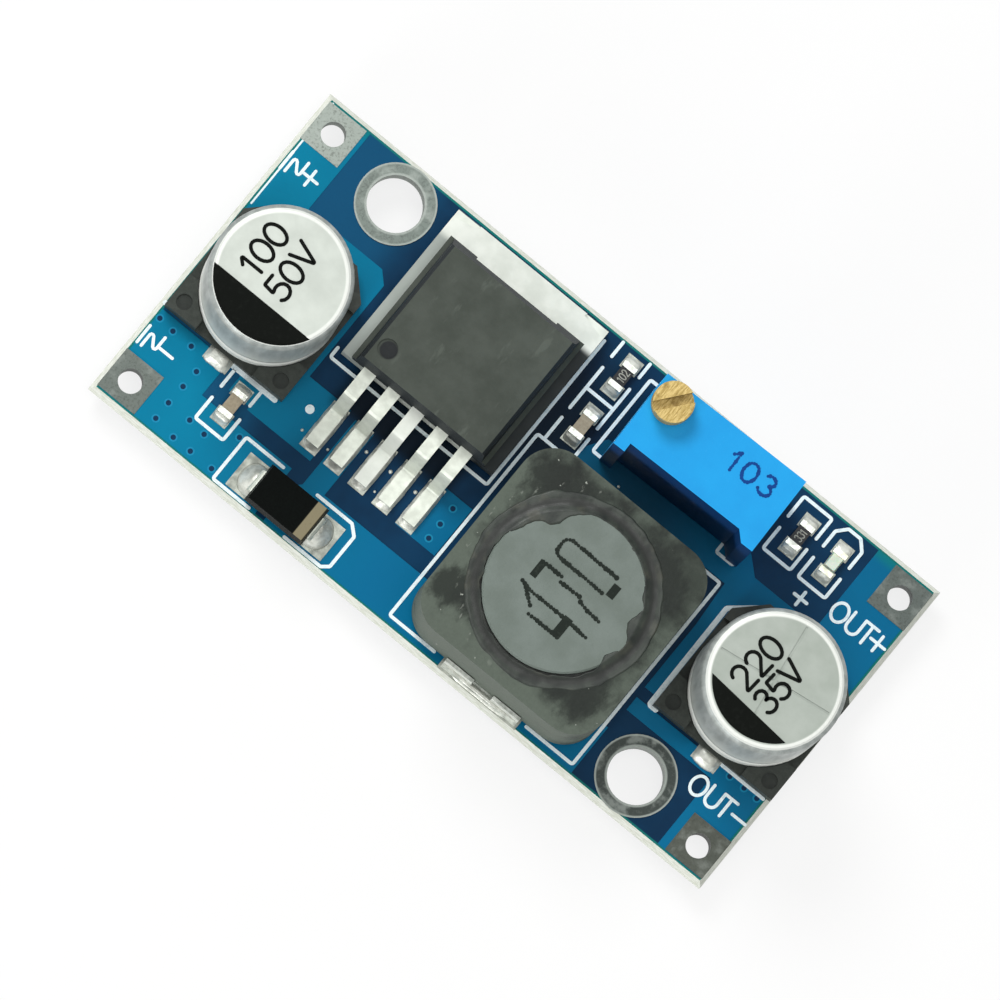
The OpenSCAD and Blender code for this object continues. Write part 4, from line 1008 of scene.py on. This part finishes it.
def lettering(text, start, height, turn=0.0, gap=0.18, stretch=1.0):
    # strokes of a word whose baseline starts at start and runs at turn degrees
    paths, along = [], 0.0
    c, s = math.cos(math.radians(turn)), math.sin(math.radians(turn))
    for letter in text:
        width, shape = letters[letter]
        for path in shape:
            placed = [((along + x * stretch) * height, y * height) for x, y in path]
            paths.append([(start[0] + x * c - y * s, start[1] + x * s + y * c) for x, y in placed])
        along += width * stretch + gap
    return paths


labels = {
    "height": 1.15, "width": 0.175,
    "words": [("I", (-21.21, 5.5)), ("N", (-20.85, 5.55)), ("+", (-20.0, 5.55)),
              ("I", (-21.21, -6.9)), ("N", (-20.85, -6.9)), ("-", (-20.0, -6.9)),
              ("O", (17.55, 5.5)), ("U", (18.68, 5.5)), ("T", (19.52, 5.5)), ("+", (20.2, 5.5)),
              ("O", (17.55, -6.8)), ("U", (18.68, -6.8)), ("T", (19.5, -6.8)), ("-", (20.4, -6.8))],
}
labelPaths = [path for word, start in labels["words"] for path in lettering(word, start, labels["height"])]
inkDepth = lines["depth"]
inkMiddle = inkZ + inkDepth / 2 - lines["bite"]
inkParts = []
for inkPaths, inkWidth, sunk in (
        (lines["thickPaths"], lines["thick"], 0), (lines["paths"], lines["normal"], 0),
        (lines["finePaths"], lines["fine"], lines["sunk"]), (labelPaths, labels["width"], 0)):
    inkParts.append(grown(pathMesh(raised(inkPaths, inkMiddle - sunk)), strokes, Width=inkWidth * mm,
                          Thickness=inkDepth * mm, Corner=lines["corner"] * mm, Ink=boardInk.material))
inkParts.append(plate([circle(lines["dot"], lines["dotR"], 20)], inkZ, inkZ + inkDepth))
piece("boardPrint", joined(inkParts), paint=boardInk)
print("print on the board ready")


# ---- print on the cans

def canPrint(name, node, chord, arcRadius, words, turn):
    # a dark segment that follows the can's rounded top, and stroke figures
    size = {"edge": 0.45, "rise": 0.012, "steps": 48, "levels": 10, "stroke": 0.2, "ink": 0.02,
            "inkUp": 0.006, "corner": 0.05}
    cx, cy, _ = nodeCentre(node)
    top = nodeTop(node)
    radius = nodeRadius(node)
    flat = radius - size["edge"]

    def height(r):
        over = max(0.0, r - flat) / size["edge"]
        return top + size["rise"] - size["edge"] * (1 - math.sqrt(max(0.0, 1 - over * over)))

    reach = math.acos(min(1.0, chord / arcRadius))
    rows = []
    for i in range(size["steps"] + 1):
        a = -reach + 2 * reach * i / size["steps"]
        b = math.radians(turn - 90) + a
        # from the chord out to the arc
        inner = chord / math.cos(a)
        radii = [inner + (arcRadius - inner) * j / size["levels"] for j in range(size["levels"] + 1)]
        rows.append([(cx + r * math.cos(b), cy + r * math.sin(b), height(r)) for r in radii])
    underRows = [[(x, y, z - 2 * size["rise"]) for x, y, z in row] for row in rows]
    segment = meshOf([sheet(rows, underRows)])
    strokePaths = raised([path for word in words for path in lettering(*word)], top + size["inkUp"])
    figures = grown(pathMesh(strokePaths), strokes, Width=size["stroke"] * mm, Corner=size["corner"] * mm,
                    Thickness=size["ink"] * mm, Ink=canInk.material)
    return piece(name, joined([segment, figures]), paint=canInk)


# the words are the arguments of lettering
canPrint("inputCanPrint", "input_cap_can", chord=1.66, arcRadius=3.72, turn=0, words=[
    ("100", (-18.1, -1.15), 1.42, 90, 0.16, 1.05), ("50V", (-16.12, -1.35), 1.42, 90, 0.16, 1.05)])
canPrint("outputCanPrint", "output_cap_can", chord=2.05, arcRadius=3.42, turn=-4.5, words=[
    ("220", (16.62, -1.75), 1.42, 85.5, 0.14, 1.02), ("35V", (18.36, -1.95), 1.36, 85.5, 0.14, 1.02)])


# ---- print on the inductor and the trimmer

drumTop = nodeTop("inductor_drum")
drumWords = {
    "paths": [
        # figures read along +Y, tops to -X, drawn in coarse dots
        [(3.4, -4.5), (4.0, -4.66), (6.4, -4.66), (8.0, -4.74)],
        [(3.6, -4.55), (4.55, -5.3)], [(4.8, -5.7), (6.8, -5.7)],
        [(3.62, -2.98), (4.9, -2.98)],
        [(5.05, -3.26), (6.35, -3.22)], [(6.55, -3.42), (7.2, -3.56), (8.0, -3.62)],
        [(7.25, -1.14), (4.1, -1.08), (3.76, -1.35), (3.82, -2.1), (4.1, -2.24), (7.15, -2.28)],
    ],
    # bars where the dots run together: middle, half width and half height
    "bars": [((6.65, -5.1), (0.27, 0.62)), ((3.66, -3.45), (0.2, 0.53)), ((7.6, -1.83), (0.24, 0.4))],
    "barRise": 0.016, "rise": 0.008,
    "dots": {"Step": 0.19, "Radius": 0.125, "Thickness": 0.02, "Shake": 0.015},
}
drumPaths = raised(drumWords["paths"], drumTop + drumWords["rise"])
drumDots = grown(pathMesh(drumPaths), dots, Ink=drumInk.material,
                 **{key: value * mm for key, value in drumWords["dots"].items()})
drumBars = [plate([[(x - w, y - h), (x + w, y - h), (x + w, y + h), (x - w, y + h)]],
                  drumTop, drumTop + drumWords["barRise"]) for (x, y), (w, h) in drumWords["bars"]]
piece("drumPrint", joined([drumDots] + drumBars), paint=drumInk)

caseTop, fineRise = nodeTop("trimmer_case"), 0.006
trimmerWord = lettering("103", start=(7.95, 7.05), height=1.15, turn=1.2, gap=0.32, stretch=1.15)
trimmerPrint = {"Step": 0.14, "Radius": 0.1, "Thickness": 0.016, "Shake": 0.012}
trimmerDots = grown(pathMesh(raised(trimmerWord, caseTop + fineRise)), dots, Ink=trimmerInk.material,
                    **{key: value * mm for key, value in trimmerPrint.items()})
piece("trimmerPrint", trimmerDots)

chipWords = []
chipPrint = {"Width": 0.06, "Thickness": 0.014, "Corner": 0.02}
for word, node in (("102", "divider_resistor"), ("331", "lamp_resistor")):
    cx, cy, _ = nodeCentre(node)
    for path in lettering(word, (cx + 0.24, cy - 0.3), height=0.46, turn=90, gap=0.12, stretch=0.7):
        chipWords.append([(x, y, nodeTop(node) + fineRise) for x, y in path])
chipStrokes = grown(pathMesh(chipWords), strokes, Ink=chipInk.material,
                    **{key: value * mm for key, value in chipPrint.items()})
piece("chipPrint", chipStrokes)
print("figures ready")


# ---- solder

def solderPieces():
    # each joint: how far from the part it stands on its land and meets the lead, half sizes there,
    # how high it climbs, whether it is hollow or domed, and its form
    joints = {
        "chip": {"out": 0.85, "in": 0.72, "foot": (0.5, 0.42), "top": (0.46, 0.3), "climb": 0.7,
                 "belly": 1.3, "form": {}},
        "lead": {"out": 4.05, "in": 4.05, "foot": (0.58, 1.5), "top": (0.45, 1.16), "climb": 0.26,
                 "belly": 1.3, "form": {"wobble": 0.05}},
        "heel": {"out": 2.9, "in": 2.72, "foot": (0.56, 0.42), "top": (0.43, 0.24), "climb": 0.55,
                 "belly": 1.1, "form": {"square": 3.0}},
        "dome": {"out": 2.12, "in": 2.07, "foot": (0.98, 1.0), "top": (0.3, 0.42), "climb": 1.0,
                 "belly": 0.75, "form": {"levels": 10, "square": 2.3, "wobble": 0.05}},
        "can": {"out": 4.5, "in": 4.4, "foot": (0.78, 0.55), "top": (0.5, 0.3), "climb": 0.34,
                "belly": 0.9, "form": {"square": 4.0, "wobble": 0.08}},
        "clip": {"out": 6.5, "in": 6.42, "foot": (2.7, 0.28), "top": (2.5, 0.14), "climb": 0.24,
                 "belly": 1.6, "form": {"square": 8.0, "wobble": 0.02}},
        "tab": {"out": 0.02, "in": 0.06, "foot": (5.2, 0.14), "top": (5.15, 0.05), "climb": 0.4,
                "belly": 2.0, "form": {"square": 10.0, "wobble": 0.01}},
    }
    sink, leadPitch = 0.02, 1.7
    beads = []

    def add(kind, x, y, dx, dy, scale=1.0):
        joint = joints[kind]
        foot, top = ((x + dx * joint[far], y + dy * joint[far]) for far in ("out", "in"))
        beads.append(bead((foot, joint["foot"]), (top, joint["top"]), landTop - sink,
                          landTop + scale * joint["climb"], joint["belly"], seed=len(beads), **joint["form"]))

    for node in ("bypass_cap_ends", "feedback_cap_ends", "divider_resistor_ends", "lamp_resistor_ends",
                 "lamp_ends"):
        cx, cy, _ = nodeCentre(node)
        for s in (-1, 1):
            add("chip", cx, cy, 0, s, nodeTop(node) - landTop)
    regX = nodeCentre("regulator_leads")[0]
    for i in range(-2, 3):
        add("lead", regX + i * leadPitch, 0, 0, -1)
        add("heel", regX + i * leadPitch, 0, 0, -1)
    diodeX, diodeY, _ = nodeCentre("diode_leads")
    for s in (-1, 1):
        add("dome", diodeX, diodeY, s, 0)
    for kind, node in (("can", "input_cap_leads"), ("can", "output_cap_leads"), ("clip", "inductor_clips")):
        cx, cy, _ = nodeCentre(node)
        for s in (-1, 1):
            add(kind, cx, cy, 0, s)
    tabLow, tabHigh = nodeBox("regulator_tab")
    add("tab", (tabLow.x + tabHigh.x) / 2, tabHigh.y, 0, -1)
    splashes = [(-7.62, -3.6, 0.11), (-5.92, -3.6, 0.12), (-4.16, -3.6, 0.12), (-9.35, -4.85, 0.09),
                (-11.1, -4.9, 0.1), (-5.9, -5.0, 0.08), (4.25, 3.72, 0.1)]
    maskTop = boardTop + copper["rise"]
    for x, y, r in splashes:
        beads.append(bead(((x, y), (r, r)), ((x, y), (r * 0.3, r * 0.3)), maskTop - 0.02, maskTop + r * 0.7,
                          0.5, levels=4, square=2.0, seed=len(beads)))
    return beads


piece("solderFillets", meshOf(solderPieces()), paint=solder, smooth=True)
print("solder ready")


# ---- the ring of glue round the drum core

def glueRing():
    # a ragged ring that wets the rims of the drum core and the shield and sinks between them
    size = {"outer": 5.42, "around": 320, "levels": 14, "film": 0.02, "sink": 0.1, "skirt": 0.06,
            "deep": 0.25, "rim": 1.008, "lean": 0.12, "ragged": 0.14, "innerFine": 0.06, "outerRough": 0.16,
            "outerFine": 0.08, "lap": 0.1, "past": 0.15, "edge": 0.12}
    # tongues of glue that reach in over the drum core: degrees, half width in degrees, reach
    tongues = [(138, 17, 0.75), (166, 12, 0.25), (12, 11, 0.65), (-17, 8, 0.45), (34, 6, 0.25)]
    cx, cy, _ = nodeCentre("inductor_drum")
    shieldTop = nodeTop("inductor_shield")
    drumR, windowR = nodeRadius("inductor_drum"), nodeRadius("inductor_glue")

    def wave(a, pitch, seed):
        return noise.noise(Vector((math.cos(a) * pitch, math.sin(a) * pitch, seed)))

    def shoreAt(a):
        edge = drumR * size["rim"] - size["lean"] * math.sin(a)
        for degrees, halfWidth, reach in tongues:
            turn = (math.degrees(a) - degrees + 180) % 360 - 180
            edge -= reach * math.exp(-(turn / halfWidth) ** 2)
        return edge - size["ragged"] * wave(a, 5, 1.0)

    def height(r, a, inner, outer):
        over = (r - drumR + size["lap"]) / (windowR - drumR + size["past"])
        if over < 0:
            return drumTop + size["film"] * min(1.0, (r - inner) / size["edge"])
        if over > 1:
            return shieldTop + size["film"] * min(1.0, (outer - r) / size["edge"])
        dip = size["sink"] * math.sin(math.pi * over) * (1 + 0.5 * wave(a, 5, 2.0))
        return drumTop + size["film"] + (shieldTop - drumTop) * over - dip

    rows, underRows = [], []
    for j in range(size["levels"] + 1):
        row = []
        for i in range(size["around"]):
            a = 2 * math.pi * i / size["around"]
            inner = shoreAt(a) - size["innerFine"] * wave(a, 14, 4.0)
            outer = size["outer"] + size["outerRough"] * wave(a, 2.3, 7.0)
            outer += size["outerFine"] * wave(a, 9, 9.0)
            r = inner + (outer - inner) * j / size["levels"]
            row.append((cx + r * math.cos(a), cy + r * math.sin(a), height(r, a, inner, outer)))
        depth = size["skirt"] if j in (0, size["levels"]) else size["deep"]
        rows.append(row)
        underRows.append([(x, y, z - depth) for x, y, z in row])
    return meshOf([sheet(rows, underRows, ring=True)])


piece("ringGlue", glueRing(), paint=glueFinish(), smooth=True)
print("glue ready")
